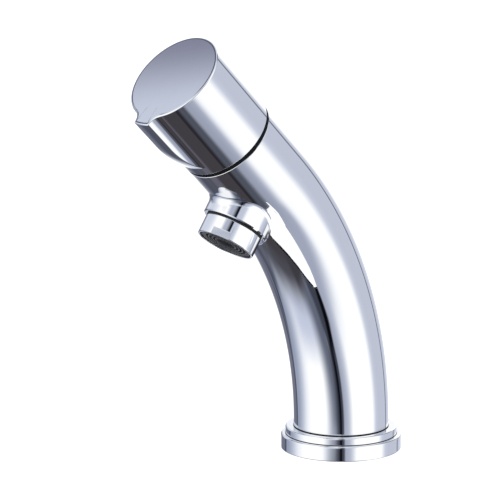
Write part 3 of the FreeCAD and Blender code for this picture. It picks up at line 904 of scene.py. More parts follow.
    def lay_outlet(self, skin: Skin, grid: Grid, middle: float, steps: int = 6) -> None:
        """Adds the boss, its fillet and the tube's surface round them, out to the grid's window.

        Args:
            skin: the skin that takes the bands.
            grid: the tube's grid.
            middle: level of the window's middle.
            steps: number of bands on the tube, from the fillet to the window's edge.
        """
        lines = self.lines
        columns, turns = [], []
        for spot in grid.perimeter():
            level, bearing = spot.level, spot.bearing - FULL_TURN
            pieces, turn = self.outlet_rows(math.atan2(bearing * lines.tube_radius, level - middle))
            turns.append(turn)
            last = pieces[-1][-1][0]
            along, centre = lines.foot_point(last)
            arm = last - centre
            round_tube = math.atan2(arm.x, -arm.dot(lines.station(along)[1]))
            patch = [lines.surface(along + (level - along) * step / steps,
                                   round_tube + (bearing - round_tube) * step / steps)
                     for step in range(steps)]
            columns.append([*pieces, [*patch, spot.corner]])
        for part in range(len(columns[0])):
            skin.bands([[column[part][step] for column in columns] for step in range(len(columns[0][part]))])
        skin.turned(lines.outlet(), self.outlet_cup, turns, inward=True)


# Knob

@dataclass
class KnobSkin:
    """The turning cap with the short nib at its front, hollow inside, with the grub screw's hole.

    Args:
        lines: the tap's lines.
        radius: outside radius of the cap.
        rim: level of the cap's lower edge above the body's rim.
        crown: level of its top.
        crown_round: rounding of its top edge.
        crown_bevel: width of the narrow bevel inside that rounding, and its tilt in degrees.
        rim_round: rounding of its lower edge.
        bore: radius of its hollow.
        ceiling: level of the hollow's top.
        reach: the nib's reach at the crown.
        half_width: half the nib's width.
        bulge: how far the nib's face stands proud of its edges.
        flank: radius of the nib's waist.
        corner: rounding of the nib's two upright edges.
        straight: length of the nib's straight part.
        taper: how far it draws in over that length.
        run_out: radius of its run-out.
        run_out_margin: how far the nib stands proud where it ends.
        steps: steps over half the nib's face, its corner, its waist and half the cap's side.
        rows_above: number of section rows from the crown to the nib's end.
        row_below: how far the first plain row lies under that end.
        crown_inset: size of the ring on the flat top inside its edge, as a share of the edge's.
        hole: radius and level of the grub screw's hole, in the middle of the rear.
        hole_window: margin round the hole in which the grid is left out, and half its width in points.
    """

    lines: TapLines
    radius: float = 21.75
    rim: float = 1.8
    crown: float = 41.2
    crown_round: float = 0.6
    crown_bevel: tuple[float, float] = (0.6, 4.5)
    rim_round: float = 0.3
    bore: float = 19.3
    ceiling: float = 38.2
    reach: float = 26.0
    half_width: float = 4.7
    bulge: float = 0.4
    flank: float = 6.0
    corner: float = 0.8
    straight: float = 17.0
    taper: float = 0.3
    run_out: float = 45.0
    run_out_margin: float = 0.02
    steps: tuple[int, int, int, int] = (8, 6, 12, 86)
    rows_above: int = 30
    row_below: float = 0.8
    crown_inset: float = 0.6
    hole: tuple[float, float] = (2.5, 14.7)
    hole_window: tuple[float, int] = (1.0, 6)

    def edge_steps(self, steps: int = 6) -> list[tuple[float, float, float]]:
        """Gives the section of the top edge, from the side to the flat top.

        Args:
            steps: number of steps over the rounding.

        Returns:
            Rows of how far the edge draws in, how far it rises, and the angle of its normal in radians.
        """
        width, tilt = self.crown_bevel
        last = math.radians(90 - tilt)
        rows = []
        for step in range(steps + 1):
            angle = last * step / steps
            rows.append((self.crown_round * (1 - math.cos(angle)), self.crown_round * math.sin(angle), angle))
        draw_in, rise, _ = rows[-1]
        rows.append((draw_in + width * math.sin(last), rise + width * math.cos(last), last))
        return rows

    def depth(self, level: float) -> tuple[float, float]:
        """Gives the nib's side profile.

        Args:
            level: level in the head's frame.

        Returns:
            The reach of the middle of the nib's face, and how fast it grows with the level.
        """
        below = self.crown - level
        if below <= self.straight:
            return self.reach - self.taper * below / self.straight, self.taper / self.straight
        lean = math.atan2(self.taper, self.straight)
        centre_out = self.reach - self.taper - math.cos(lean) * self.run_out
        centre_level = self.crown - self.straight + math.sin(lean) * self.run_out
        rise = level - centre_level
        out = math.sqrt(max(self.run_out ** 2 - rise ** 2, 1e-9))
        return centre_out + out, -rise / out

    def half_outline(self, level: float) -> list[tuple[float, float, float, float, float]] | None:
        """Makes half of the section at a level, from the nib's middle to the rear.

        Args:
            level: level in the head's frame.

        Returns:
            Rows of x, y and the normal's three parts, or None where the nib has run out.
        """
        depth, slope = self.depth(level)
        if depth < self.radius + self.run_out_margin:
            return None
        curve = self.bulge / self.half_width ** 2
        waist = self.radius + self.flank
        edge_y = -(self.reach - self.bulge)
        spread = math.acos((waist ** 2 + self.half_width ** 2 + edge_y ** 2 - self.flank ** 2)
                           / (2 * waist * math.hypot(self.half_width, edge_y)))
        root = math.atan2(self.half_width, -edge_y) + spread
        hub = Vector((math.sin(root), -math.cos(root))) * waist

        def face(x: float) -> tuple[Vector, Vector]:
            """Returns a point of the nib's face, and the normal there."""
            normal = Vector((2 * curve * x, -1.0)).normalized()
            return Vector((x, -depth + curve * x * x)), normal

        def clear(x: float) -> bool:
            """Tells whether a corner rounding that touches the face at x clears the waist's."""
            point, normal = face(x)
            return (point - normal * self.corner - hub).length > self.flank + self.corner

        corner_x = bisect(0.0, 2 * self.half_width, clear)
        point, normal = face(corner_x)
        ball = point - normal * self.corner
        to_hub = (hub - ball).normalized()
        touch = hub - to_hub * self.flank
        root_point = Vector((math.sin(root), -math.cos(root))) * self.radius
        start = math.atan2((touch - hub).y, (touch - hub).x) % FULL_TURN
        end = math.atan2((root_point - hub).y, (root_point - hub).x) % FULL_TURN
        if end > start:
            return None
        face_steps, corner_steps, waist_steps, side_steps = self.steps
        rows = []
        for step in range(face_steps + 1):
            spot, way = face(corner_x * step / face_steps)
            solid = Vector((way.x, way.y, -slope * abs(way.y))).normalized()
            rows.append((spot.x, spot.y, solid.x, solid.y, solid.z))
        last = Vector(rows[-1][2:])
        flat = Vector((to_hub.x, to_hub.y, 0))
        for step in range(1, corner_steps):
            way = slerp(last, flat, step / corner_steps)
            ring = Vector((way.x, way.y)).normalized()
            rows.append((ball.x + ring.x * self.corner, ball.y + ring.y * self.corner, way.x, way.y, way.z))
        for step in range(waist_steps):
            angle = start + (end - start) * step / waist_steps
            way = Vector((math.cos(angle), math.sin(angle)))
            spot = hub + way * self.flank
            rows.append((spot.x, spot.y, -way.x, -way.y, 0.0))
        for step in range(side_steps):
            bearing = root + (math.pi - root) * step / side_steps
            way = Vector((math.sin(bearing), -math.cos(bearing)))
            rows.append((way.x * self.radius, way.y * self.radius, way.x, way.y, 0.0))
        rows.append((0.0, self.radius, 0.0, 1.0, 0.0))
        return rows

    def outline(self, level: float) -> list[Corner]:
        """Makes the whole section at a level.

        Args:
            level: level in the head's frame.

        Returns:
            The section's points and normals in the head's own frame, once round from the nib's middle.
        """
        half = self.half_outline(level)
        if half is None:
            half = [(self.radius * math.sin(turn), -self.radius * math.cos(turn), math.sin(turn),
                     -math.cos(turn), 0.0) for turn in self.plain_bearings()]
        mirrored = [(-x, y, -side, front, up) for x, y, side, front, up in half[-2:0:-1]]
        return [(Vector((x, y, level)), Vector((side, front, up)))
                for x, y, side, front, up in half + mirrored]

    def nib_end(self) -> float:
        """Finds where the nib runs out into the cap's side.

        Returns:
            The level of the last section with the nib.
        """
        margin = self.run_out_margin / 2
        return margin + bisect(self.crown - self.straight, self.rim,
                               lambda level: self.half_outline(level) is not None)

    def plain_bearings(self) -> list[float]:
        """Gives the bearings of half a plain section's points.

        Returns:
            The bearings of the points where the nib is about to run out.
        """
        half = self.half_outline(self.nib_end())
        assert half is not None
        return [math.atan2(x, -y) for x, y, *_ in half]

    def levels(self) -> list[float]:
        """Spaces the section rows.

        Returns:
            Their levels, from the crown's edge down to the rim's.
        """
        start, end = self.crown - self.edge_steps()[-1][1], self.nib_end()
        rows = [start + (end - start) * step / self.rows_above for step in range(self.rows_above + 1)]
        return [*rows, end - self.row_below, self.rim + self.rim_round]

    def build(self) -> bpy.types.Object:
        """Builds the skin.

        Returns:
            The piece.
        """
        head, skin = self.lines.head(), Skin("knob_skin")

        def placed(corner: Corner) -> Corner:
            """Returns a corner given in the head's frame, in the tap's own frame."""
            point, normal = corner
            return head.point(*point), head.way(*normal)

        levels = self.levels()
        sections = [self.outline(level) for level in levels]
        rows = [[placed(corner) for corner in section] for section in sections]
        half = self.plain_bearings()
        turns = half + [FULL_TURN - turn for turn in half[-2:0:-1]]
        hole_radius, hole_level = self.hole
        margin, half_width = self.hole_window
        first = max(row for row, level in enumerate(levels) if level > hole_level + hole_radius + margin)
        last = min(row for row, level in enumerate(levels) if level < hole_level - hole_radius - margin)
        columns = (len(half) - 1 - half_width, len(half) - 1 + half_width)
        outside = Grid(levels, turns, rows, (first, last), columns)
        outside.lay(skin)

        top = []
        for draw_in, rise, angle in self.edge_steps():
            ring = []
            for point, normal in sections[0]:
                flat = Vector((normal.x, normal.y, 0)).normalized()
                spot = point - flat * draw_in + Vector((0, 0, rise))
                way = flat * math.cos(angle) + Vector((0, 0, math.sin(angle)))
                ring.append(placed((spot, way)))
            top.append(ring)
        skin.bands(top)
        inset = self.crown_inset
        inner = [(head.point(point.x * inset, point.y * inset, self.crown), head.up)
                 for point, _ in sections[0]]
        skin.band([(point, head.up) for point, _ in top[-1]], inner)
        skin.fan(inner, (head.point(0, 0, self.crown), head.up))

        edge = self.radius - self.rim_round
        skin.rounded(head, edge, self.rim + self.rim_round, self.rim_round, 0, -90, turns, steps=4)
        skin.turned(head, ((edge, self.rim), (self.bore, self.rim)), turns, inward=True)
        skin.turned(head, ((self.bore, self.ceiling), (0.0, self.ceiling)), turns, inward=True)
        wall_levels = [self.ceiling, *levels[first:last + 1], self.rim]
        wall = [[(head.polar(self.bore, turn, level), head.way(-math.sin(turn), math.cos(turn), 0))
                 for turn in turns] for level in wall_levels]
        inside = Grid(wall_levels, turns, wall, (1, len(wall_levels) - 2), columns)
        inside.lay(skin)
        self.lay_hole(skin, outside.perimeter(), inside.perimeter())
        return skin.build()

    def lay_hole(self, skin: Skin, outside: Sequence[Spot], inside: Sequence[Spot], steps: int = 4) -> None:
        """Adds the walls round the grub screw's hole, and the hole's own wall.

        Args:
            skin: the skin that takes the bands.
            outside: the edge of the window in the cap's outside.
            inside: the edge of the window in its hollow, with as many spots.
            steps: number of bands from the window's edge to the hole.
        """
        head = self.lines.head()
        hole_radius, middle = self.hole
        turns = [math.atan2((spot.bearing - math.pi) * self.radius, spot.level - middle) for spot in outside]
        rims = []
        for radius, facing, edge in ((self.radius, 1, outside), (self.bore, -1, inside)):
            rows = [[spot.corner for spot in edge]]
            for step in range(1, steps + 1):
                row = []
                for spot, turn in zip(edge, turns):
                    end = math.pi + math.asin(hole_radius * math.sin(turn) / radius)
                    end_level = middle + hole_radius * math.cos(turn)
                    bearing = spot.bearing + (end - spot.bearing) * step / steps
                    level = spot.level + (end_level - spot.level) * step / steps
                    row.append((head.polar(radius, bearing, level),
                                head.way(math.sin(bearing) * facing, -math.cos(bearing) * facing, 0)))
                rows.append(row)
            skin.bands(rows)
            rims.append([point for point, _ in rows[-1]])
        ways = [head.way(math.sin(turn), 0, -math.cos(turn)) for turn in turns]
        skin.bands([list(zip(rim, ways)) for rim in rims])


# Pieces made with the modelling operators

def turned_piece(name: str, frame: Frame, profile: Sequence[tuple[float, float, float]],
                 segments: int = 256, round_segments: int = 8) -> bpy.types.Object:
    """Turns a closed profile about a frame's axis with the spin operator.

    Args:
        name: name of the piece.
        frame: the frame whose Z axis is the axis.
        profile: radius, level and rounding of each corner, once round the section.
        segments: number of steps round the axis.
        round_segments: number of steps over each rounding.

    Returns:
        The piece, at the origin.
    """
    bpy.ops.object.select_all(action="DESELECT")
    bpy.ops.mesh.primitive_circle_add(vertices=len(profile), radius=1.0)
    piece = bpy.context.object
    piece.name = piece.data.name = name
    for vertex, (radius, level, _) in zip(piece.data.vertices, profile):
        vertex.co = frame.point(radius, 0, level) * MM
    bpy.ops.object.mode_set(mode="EDIT")
    bpy.ops.mesh.select_mode(type="VERT")
    for number, (_, _, rounding) in enumerate(profile):
        if rounding > 0:
            place = frame.point(profile[number][0], 0, profile[number][1]) * MM
            select_vertices(piece, lambda spot, place=place: (spot - place).length < TINY)
            bpy.ops.mesh.bevel(offset=rounding * MM, offset_type="OFFSET", segments=round_segments,
                               affect="VERTICES")
    bpy.ops.mesh.select_all(action="SELECT")
    bpy.ops.mesh.spin(steps=segments, angle=FULL_TURN, center=frame.origin * MM, axis=frame.up)
    bpy.ops.mesh.select_all(action="SELECT")
    bpy.ops.mesh.remove_doubles(threshold=TINY)
    bpy.ops.mesh.normals_make_consistent(inside=False)
    bpy.ops.object.mode_set(mode="OBJECT")
    return piece


def select_vertices(piece: bpy.types.Object, wanted: Callable[[Vector], bool]) -> None:
    """Selects the vertices at wanted places, in edit mode.

    Args:
        piece: the piece in edit mode.
        wanted: tells whether a place is wanted.
    """
    bpy.ops.mesh.select_all(action="DESELECT")
    bpy.ops.object.mode_set(mode="OBJECT")
    for vertex in piece.data.vertices:
        vertex.select = wanted(vertex.co)
    bpy.ops.object.mode_set(mode="EDIT")


def pick(piece: bpy.types.Object) -> None:
    """Makes a piece the only selected one, and the active one.

    Args:
        piece: the piece.
    """
    bpy.ops.object.select_all(action="DESELECT")
    bpy.context.view_layer.objects.active = piece
    piece.select_set(True)


def smooth_by_weight(piece: bpy.types.Object, angle: float = 30.0) -> bpy.types.Object:
    """Shades a piece smooth, with the large faces leading the normals.

    Args:
        piece: the piece.
        angle: edges sharper than this stay sharp, in degrees.

    Returns:
        The same piece.
    """
    pick(piece)
    bpy.ops.object.shade_smooth_by_angle(angle=math.radians(angle))
    weight = piece.modifiers.new("even normals", "WEIGHTED_NORMAL")
    weight.keep_sharp = True
    bpy.ops.object.modifier_apply(modifier=weight.name)
    return piece


@dataclass
class BaseSteps:
    """The two turned steps of the base.

    Args:
        lines: the tap's lines.
        flange: radius and top level of the lower step.
        ring: radius and top level of the upper step.
        flange_round: rounding of the lower step's top edge.
        foot_round: rounding of its lower edge.
        ring_round: rounding of the upper step's top edge.
        ring_foot_round: rounding of its lower edge.
        bore: radius of their bore.
        gasket: inner and outer radius of the gasket's groove in the underside, and its top level.
    """

    lines: TapLines
    flange: tuple[float, float] = (27.2, 6.9)
    ring: tuple[float, float] = (25.2, 10.3)
    flange_round: float = 0.9
    foot_round: float = 0.5
    ring_round: float = 0.8
    ring_foot_round: float = 0.15
    bore: float = 19.6
    gasket: tuple[float, float, float] = (21.0, 24.4, 2.0)

    def build_flange(self) -> bpy.types.Object:
        """Builds the lower step, with the groove for the gasket in its underside.

        Returns:
            The piece.
        """
        radius, top = self.flange
        groove_in, groove_out, groove_top = self.gasket
        return smooth_by_weight(turned_piece("base_step_lower", self.lines.base(), (
            (self.bore, 0, 0), (groove_in, 0, 0), (groove_in, groove_top, 0), (groove_out, groove_top, 0),
            (groove_out, 0, 0), (radius, 0, self.foot_round), (radius, top, self.flange_round),
            (self.bore, top, 0))))

    def build_ring(self) -> bpy.types.Object:
        """Builds the upper step.

        Returns:
            The piece.
        """
        radius, top = self.ring
        foot = self.flange[1]
        return smooth_by_weight(turned_piece("base_step_upper", self.lines.base(), (
            (self.bore, foot, 0), (radius, foot, self.ring_foot_round), (radius, top, self.ring_round),
            (self.bore, top, 0))))


@dataclass
class AeratorSleeve:
    """The chromed sleeve that holds the aerator, with an undercut above and two flats for a wrench.

    Args:
        lines: the tap's lines.
        radius: outside radius.
        height: level at which it meets the boss.
        undercut: radius and height of the undercut.
        lip: width and depth of the mouth's lip, which is thin where it shows.
        bore: radius inside.
        rounding: rounding of the outer edges.
        lip_round: rounding of the lip's inner edge.
        male: radius and top level of the part inside the boss.
        flat_across: distance across the two flats.
        flat_height: how far the flats reach up from the mouth.
        flat_turn: where the first flat faces, in degrees from the front towards +X.
        cutter: depth and length of the block that cuts a flat, and how far it reaches below the mouth.
    """

    lines: TapLines
    radius: float = 13.05
    height: float = 9.35
    undercut: tuple[float, float] = (12.35, 0.8)
    lip: tuple[float, float] = (0.9, 1.2)
    bore: float = 10.3
    rounding: float = 0.35
    lip_round: float = 0.15
    male: tuple[float, float] = (11.95, 16.2)
    flat_across: float = 24.6
    flat_height: float = 3.2
    flat_turn: float = 32.0
    cutter: tuple[float, float, float] = (6.0, 40.0, 2.0)

    def build(self) -> bpy.types.Object:
        """Builds the sleeve.

        Returns:
            The piece.
        """
        outlet = self.lines.outlet()
        neck, neck_height = self.undercut
        shoulder = self.height - neck_height
        lip_width, lip_depth = self.lip
        lip_radius = self.radius - lip_width
        male_radius, male_top = self.male
        piece = turned_piece("aerator_sleeve", outlet, (
            (lip_radius, 0, self.lip_round), (self.radius, 0, self.rounding),
            (self.radius, shoulder, self.rounding), (neck, shoulder, 0), (neck, self.height, 0),
            (male_radius, self.height, 0), (male_radius, male_top, 0), (self.bore, male_top, 0),
            (self.bore, lip_depth, 0), (lip_radius, lip_depth, 0)))
        for turn in (self.flat_turn, self.flat_turn + 180):
            self.cut_flat(piece, outlet, math.radians(turn))
        return smooth_by_weight(piece)

    def cut_flat(self, piece: bpy.types.Object, outlet: Frame, turn: float) -> None:
        """Cuts one wrench flat.

        Args:
            piece: the sleeve.
            outlet: the outlet's frame.
            turn: bearing of the flat.
        """
        depth, length, below = self.cutter
        way = outlet.way(math.sin(turn), -math.cos(turn), 0)
        across = outlet.up.cross(way)
        out, level = (self.flat_across + depth) / 2, (self.flat_height - below) / 2
        middle = outlet.origin + way * out + outlet.up * level
        bpy.ops.object.select_all(action="DESELECT")
        bpy.ops.mesh.primitive_cube_add(size=1.0)
        block = bpy.context.object
        for vertex in block.data.vertices:
            x, y, z = vertex.co
            arm = way * x * depth + across * y * length + outlet.up * z * (self.flat_height + below)
            vertex.co = (middle + arm) * MM
        cut = piece.modifiers.new("flat", "BOOLEAN")
        cut.operation = "DIFFERENCE"
        cut.solver = "EXACT"
        cut.object = block
        pick(piece)
        bpy.ops.object.modifier_apply(modifier=cut.name)
        bpy.data.objects.remove(block, do_unlink=True)


@dataclass
class ThinRings:
    """The thin rings that show as dark lines: under the knob, round the sleeve and at the base's joints. The
    black rings round the sleeve and at the base's joints are painted shade for the shadow in those gaps; the
    glide ring under the knob is a real black part, whose brim is widened into the gap so that it also stands
    for the gap's shade.

    Args:
        lines: the tap's lines.
        glide_seat: inner and outer radius of the glide ring in the rim's recess, and its lower level.
        glide_brim: radius, lower and upper level of the brim that fills the gap under the knob; it is widened
            so that its black also stands for the gap's shade, as painted shade.
        glide_collar: inner and outer radius of the collar that guides the knob, and its top level.
        glide_rounds: rounding of the edges of the seat and bore, of the brim, and of the collar.
        seal: inner radius, outer radius, lower and upper level of the black ring between sleeve and boss,
            which is painted shade for the shadow in the sleeve's undercut.
        groove: the same for the black ring in the groove of the mouth.
        mouth: the same for the grey ring inside that groove.
        foot: the same for the black ring between tube and base ring, painted shade for the shadow in that
            joint.
        step: the same for the black ring between the base's two steps, painted shade for the shadow in that
            joint.
    """

    lines: TapLines
    glide_seat: tuple[float, float, float] = (16.2, 19.95, -2.5)
    # the brim is widened into the gap under the knob, so its black is partly the real ring and partly painted
    # shade
    glide_brim: tuple[float, float, float] = (21.3, -0.23, 1.7)
    glide_collar: tuple[float, float, float] = (17.2, 19.2, 6.0)
    glide_rounds: tuple[float, float, float] = (0.2, 0.1, 0.3)
    # the black ring round the sleeve is painted shade for the shadow in its undercut
    seal: tuple[float, float, float, float] = (12.38, 13.0, 8.58, 9.32)
    groove: tuple[float, float, float, float] = (11.4, 12.13, 0.85, 1.18)
    mouth: tuple[float, float, float, float] = (10.36, 11.35, 0.55, 1.18)
    # the black rings at the foot and between the steps are painted shade for the joints' shadow
    foot: tuple[float, float, float, float] = (21.0, 21.6, 10.31, 10.72)
    step: tuple[float, float, float, float] = (24.0, 25.32, 6.91, 7.12)

    def build_glide(self) -> bpy.types.Object:
        """Builds the ring that guides the knob.

        Returns:
            The piece.
        """
        inner, seat, foot = self.glide_seat
        brim, low, high = self.glide_brim
        collar_in, collar_out, top = self.glide_collar
        seat_round, brim_round, collar_round = self.glide_rounds
        return smooth_by_weight(turned_piece("glide_ring_skin", self.lines.head(), (
            (inner, foot, 0), (seat, foot, seat_round), (seat, low, 0), (brim, low, brim_round),
            (brim, high, brim_round), (collar_out, high, 0), (collar_out, top, collar_round),
            (collar_in, top, collar_round), (collar_in, high, 0), (inner, high, seat_round))))

    def build_ring(self, name: str, frame: Frame, sizes: tuple[float, float, float, float],
                   rounding: float) -> bpy.types.Object:
        """Builds a thin ring.

        Args:
            name: name of the piece.
            frame: the frame about whose Z axis it lies.
            sizes: its inner radius, outer radius, lower and upper level.
            rounding: rounding of its edges.

        Returns:
            The piece.
        """
        inner, outer, low, high = sizes
        return smooth_by_weight(turned_piece(name, frame, (
            (inner, low, rounding), (outer, low, rounding),
            (outer, high, rounding), (inner, high, rounding))))


# Studio, floor and camera

def shade(red: int, green: int, blue: int) -> Colour:
    """Turns a colour as a screen shows it into linear values.

    Args:
        red: its red, from 0 to 255.
        green: its green.
        blue: its blue.

    Returns:
        The colour in linear values, opaque.
    """
    def linear(value: int) -> float:
        """Undoes the usual curve of a screen."""
        share = value / 255
        return share / 12.92 if share <= 0.04045 else ((share + 0.055) / 1.055) ** 2.4

    return linear(red), linear(green), linear(blue), 1.0


@dataclass(frozen=True)
class Card:
    """One card or softbox of the studio, as a soft rectangle of directions.

    Args:
        name: what it is.
        colour: its colour, in linear values.
        left: left edge's azimuth in degrees, 0 at -Y and 90 at +X.
        right: right edge's azimuth.
        bottom: lower edge's elevation.
        top: upper edge's elevation.
        soft: softness of the left, right, lower and upper edges, in degrees.
        lean: how far the azimuth moves for each degree of elevation.
        weight: how much it covers what lies behind it.
    """

    name: str
    colour: Colour
    left: float
    right: float
    bottom: float
    top: float
    soft: tuple[float, float, float, float] = (4.0, 4.0, 4.0, 4.0)
    lean: float = 0.0
    weight: float = 1.0


WHITE = shade(255, 255, 255)
BRIGHT = (1.25, 1.25, 1.22, 1.0)
ROOM = shade(224, 230, 243)

CARDS = (
    Card("ceiling bounce", shade(228, 233, 245), -180, 180, 30, 90, (1, 1, 14, 1)),
    Card("back wall", shade(204, 209, 224), 141, 200, -45, 45, (12, 8, 14, 14)),
    Card("left white panel", BRIGHT, -154, -116, -30, 40, (6, 9, 14, 14), -1.1),
    Card("back line", shade(84, 90, 108), 183.4, 187, -22, 18, (1.6, 1.6, 5, 5)),
    Card("grey flag behind", shade(134, 140, 158), 160, 184, -70, -19, (14, 3, 10, 4)),
    Card("dark flag behind", shade(58, 63, 78), 176, 188, -70, -19, (6, 3, 10, 4)),
    Card("high grey flag behind", shade(134, 140, 158), 160, 184, 20, 80, (14, 3, 5, 8)),
    Card("high dark flag behind", shade(58, 63, 78), 176, 188, 20, 80, (6, 3, 5, 8)),
    Card("large softbox", BRIGHT, -42, 18, -44, 60, (22, 12, 14, 14)),
    Card("softbox foot", shade(202, 210, 232), -44, 26, -55, -38, (18, 16, 6, 8), weight=0.85),
    Card("left lavender screen", shade(156, 166, 188), -82, -60, -47, 16, (5, 20, 9, 12)),
    Card("left grey screen", shade(119, 122, 138), -118, -82, -60, 4, (10, 4, 8, 12)),
    Card("left high grey screen", shade(132, 136, 152), -122, -99, -6, 12, (6, 5, 8, 6), weight=0.85),
    Card("left dark line", shade(80, 86, 103), -81, -74, -33, -2, (3, 3, 5, 4), 0.5),
    Card("left dark line foot", shade(66, 70, 86), -87, -80.5, -46, -28, (3, 3, 5, 6)),
    Card("left dusk screen", shade(82, 86, 101), -138, -95, -66, -38, (10, 5, 6, 5), -0.5),
    Card("left low dusk", shade(112, 116, 132), -84, -60, -56, -44, (6, 16, 5, 5), weight=0.6),
    Card("left low shade", shade(108, 112, 126), -92, -44, -68, -50, (6, 14, 6, 7), weight=0.85),
    Card("shaded floor", shade(80, 80, 88), -180, 180, -90, -54, (1, 1, 1, 8)),
    Card("right white wall", BRIGHT, 72.5, 135, -31, 60, (9, 8, 12, 14)),
    Card("right grey panel", shade(167, 174, 192), 54, 66, -58, 16, (2, 14, 4, 14)),
    Card("right low panel", shade(173, 179, 197), 58, 106, -56, -36, (4, 12, 5, 8)),
    Card("right low screen", BRIGHT, 106, 150, -66, -28, (8, 6, 8, 8)),
    Card("grey flag", shade(106, 112, 128), 32, 54, -58, -2, (15, 3, 5, 8), 0.42),
    Card("low grey flag", shade(104, 110, 126), 26, 44, -56, -39, (8, 4, 4, 3)),
    Card("veil over the base", shade(235, 238, 250), 8, 60, -15, 0, (8, 8, 4, 5), weight=0.22),
    Card("dark flag", shade(66, 70, 83), 39.5, 56, -56, 4, (4.5, 2, 4, 10), 0.06),
    Card("second veil over the base", shade(235, 238, 250), 8, 60, -15, 0, (8, 8, 4, 5), weight=0.05),
    Card("dark flag foot", shade(60, 64, 76), 50, 59, -48, -37, (2, 3, 3, 2), weight=0.85),
    Card("black strip", shade(12, 13, 18), 46, 51.5, -34, 14, (3, 2, 4, 8), 0.1),
    Card("high grey flag", shade(186, 192, 208), 14, 50, 22, 60, (14, 3, 8, 4)),
    Card("high right panel", shade(205, 212, 226), 54, 82, 22, 60, (2, 10, 8, 4)),
    Card("high dark flag", shade(66, 70, 84), 42, 56, 22, 60, (9, 2, 8, 4)),
    Card("high black strip", shade(14, 16, 24), 47.5, 54.5, 22, 60, (4, 1.5, 8, 4)),
    Card("black hook", shade(12, 12, 16), 19, 30, -51, -33, (3, 2.5, 3, 3), -0.7),
    Card("olive mat", shade(66, 64, 70), 4, 50, -70, -56, (9, 4, 4, 4)),
    Card("brown mat", shade(70, 67, 71), -70, 54, -84, -66, (12, 3, 4, 4)),
    Card("black mat", shade(46, 44, 49), 52, 68, -84, -60, (3, 8, 4, 6)),
    Card("low right mat", shade(84, 89, 102), 68, 85, -80, -60, (6, 12, 4, 6)),
    Card("low left lavender", shade(104, 103, 116), -100, -58, -78, -61, (8, 10, 4, 4)),
    Card("low right slope", shade(158, 165, 183), 86, 104, -66, -50, (8, 10, 6, 6), weight=0.8),
    Card("edge over the knob", shade(96, 100, 116), -95, -69, 28.2, 51, (2, 1.2, 1, 2)),
    Card("dusk over the knob", shade(138, 140, 160), -83, -76, 34, 42.5, (1, 1, 1.5, 1.5)),
    Card("dawn over the knob", shade(211, 218, 233), -79.65, -76, 34, 42.5, (0.85, 1, 1.5, 1.5)),
)


@dataclass(frozen=True)
class Board:
    """A small flat board close to the tap, which only the metal sees.

    Args:
        name: what it is.
        colour: its colour, in linear values.
        corners: its corners in mm, in order round it, all in one plane.
    """

    name: str
    colour: Colour
    corners: tuple[tuple[float, float, float], ...]

    def build(self) -> None:
        """Builds the board, hidden from the camera, from diffuse light and from shadows."""
        bpy.ops.object.select_all(action="DESELECT")
        bpy.ops.mesh.primitive_circle_add(vertices=len(self.corners), radius=1.0, fill_type="NGON")
        board = bpy.context.object
        board.name = self.name
        for vertex, corner in zip(board.data.vertices, self.corners):
            vertex.co = Vector(corner) * MM
        material = bpy.data.materials.new(self.name)
        material.use_nodes = True
        shader = material.node_tree.nodes["Principled BSDF"]
        set_inputs(shader, {"Base Color": (0, 0, 0, 1), "Specular IOR Level": 0.0,
                            "Emission Color": self.colour, "Emission Strength": 1.0})
        board.data.materials.append(material)
        board.visible_camera = False
        board.visible_diffuse = False
        board.visible_shadow = False


BOARDS = (
    Board("white board under the bend", BRIGHT, (
        (9.5, -65.5, 60), (11.0, -63.8, 60), (16.0, -61.3, 60), (20.5, -58.0, 60), (25.0, -52.8, 60),
        (28.0, -46.5, 60), (30.5, -42.0, 60), (34.5, -40.0, 60), (41.0, -45.0, 60), (49.0, -55.0, 60),
        (53.0, -60.0, 60), (30.0, -68.0, 60))),
    Board("its black edge", shade(14, 14, 18), (
        (8.0, -65.0, 61), (15.2, -60.0, 61), (19.5, -57.0, 61), (23.8, -52.0, 61), (26.8, -46.0, 61),
        (29.3, -41.4, 61), (30.2, -42.2, 61), (27.8, -46.8, 61), (24.8, -53.1, 61), (20.3, -58.3, 61),
        (15.8, -61.6, 61), (10.5, -64.3, 61), (9.0, -66.0, 61))),
    Board("white strip beside the boss", BRIGHT, (
        (23, -61.0, 111.5), (23, -60.5, 112.3), (23, -59.0, 111.9), (23, -56.0, 110.2), (23, -54.2, 108.8),
        (23, -52.5, 106.0), (23, -50.5, 102.0), (23, -50.5, 99.5), (23, -54.0, 98.0), (23, -53.8, 104.0),
        (23, -55.5, 107.4), (23, -59.5, 110.4))),
)


def sleeve_shade_board(bearing: float = 135.0, away: float = 13.5, left: float = -1.0, right: float = 6.0,
                 top: float = 9.3) -> Board:
    """Places the dark board in the pocket beside the sleeve, which only the metal sees: it puts the pocket's
    shade into the chrome as a painted shadow.

    Args:
        bearing: where it stands round the outlet, in degrees.
        away: its distance from the outlet's axis.
        left: its left edge, across.
        right: its right edge.
        top: its top level. It stands on the mouth's level.

    Returns:
        The board.
    """
    outlet, turn = TapLines().outlet(), math.radians(bearing)
    middle = outlet.polar(away, turn, 0)
    across = outlet.way(math.cos(turn), math.sin(turn), 0)
    corners = tuple(tuple(middle + across * side + outlet.up * level)
                    for side, level in ((left, 0), (right, 0), (right, top), (left, top)))
    # its dark blue is painted shade for the pocket between sleeve and tube
    return Board("shade board beside the sleeve", shade(36, 40, 58), corners)


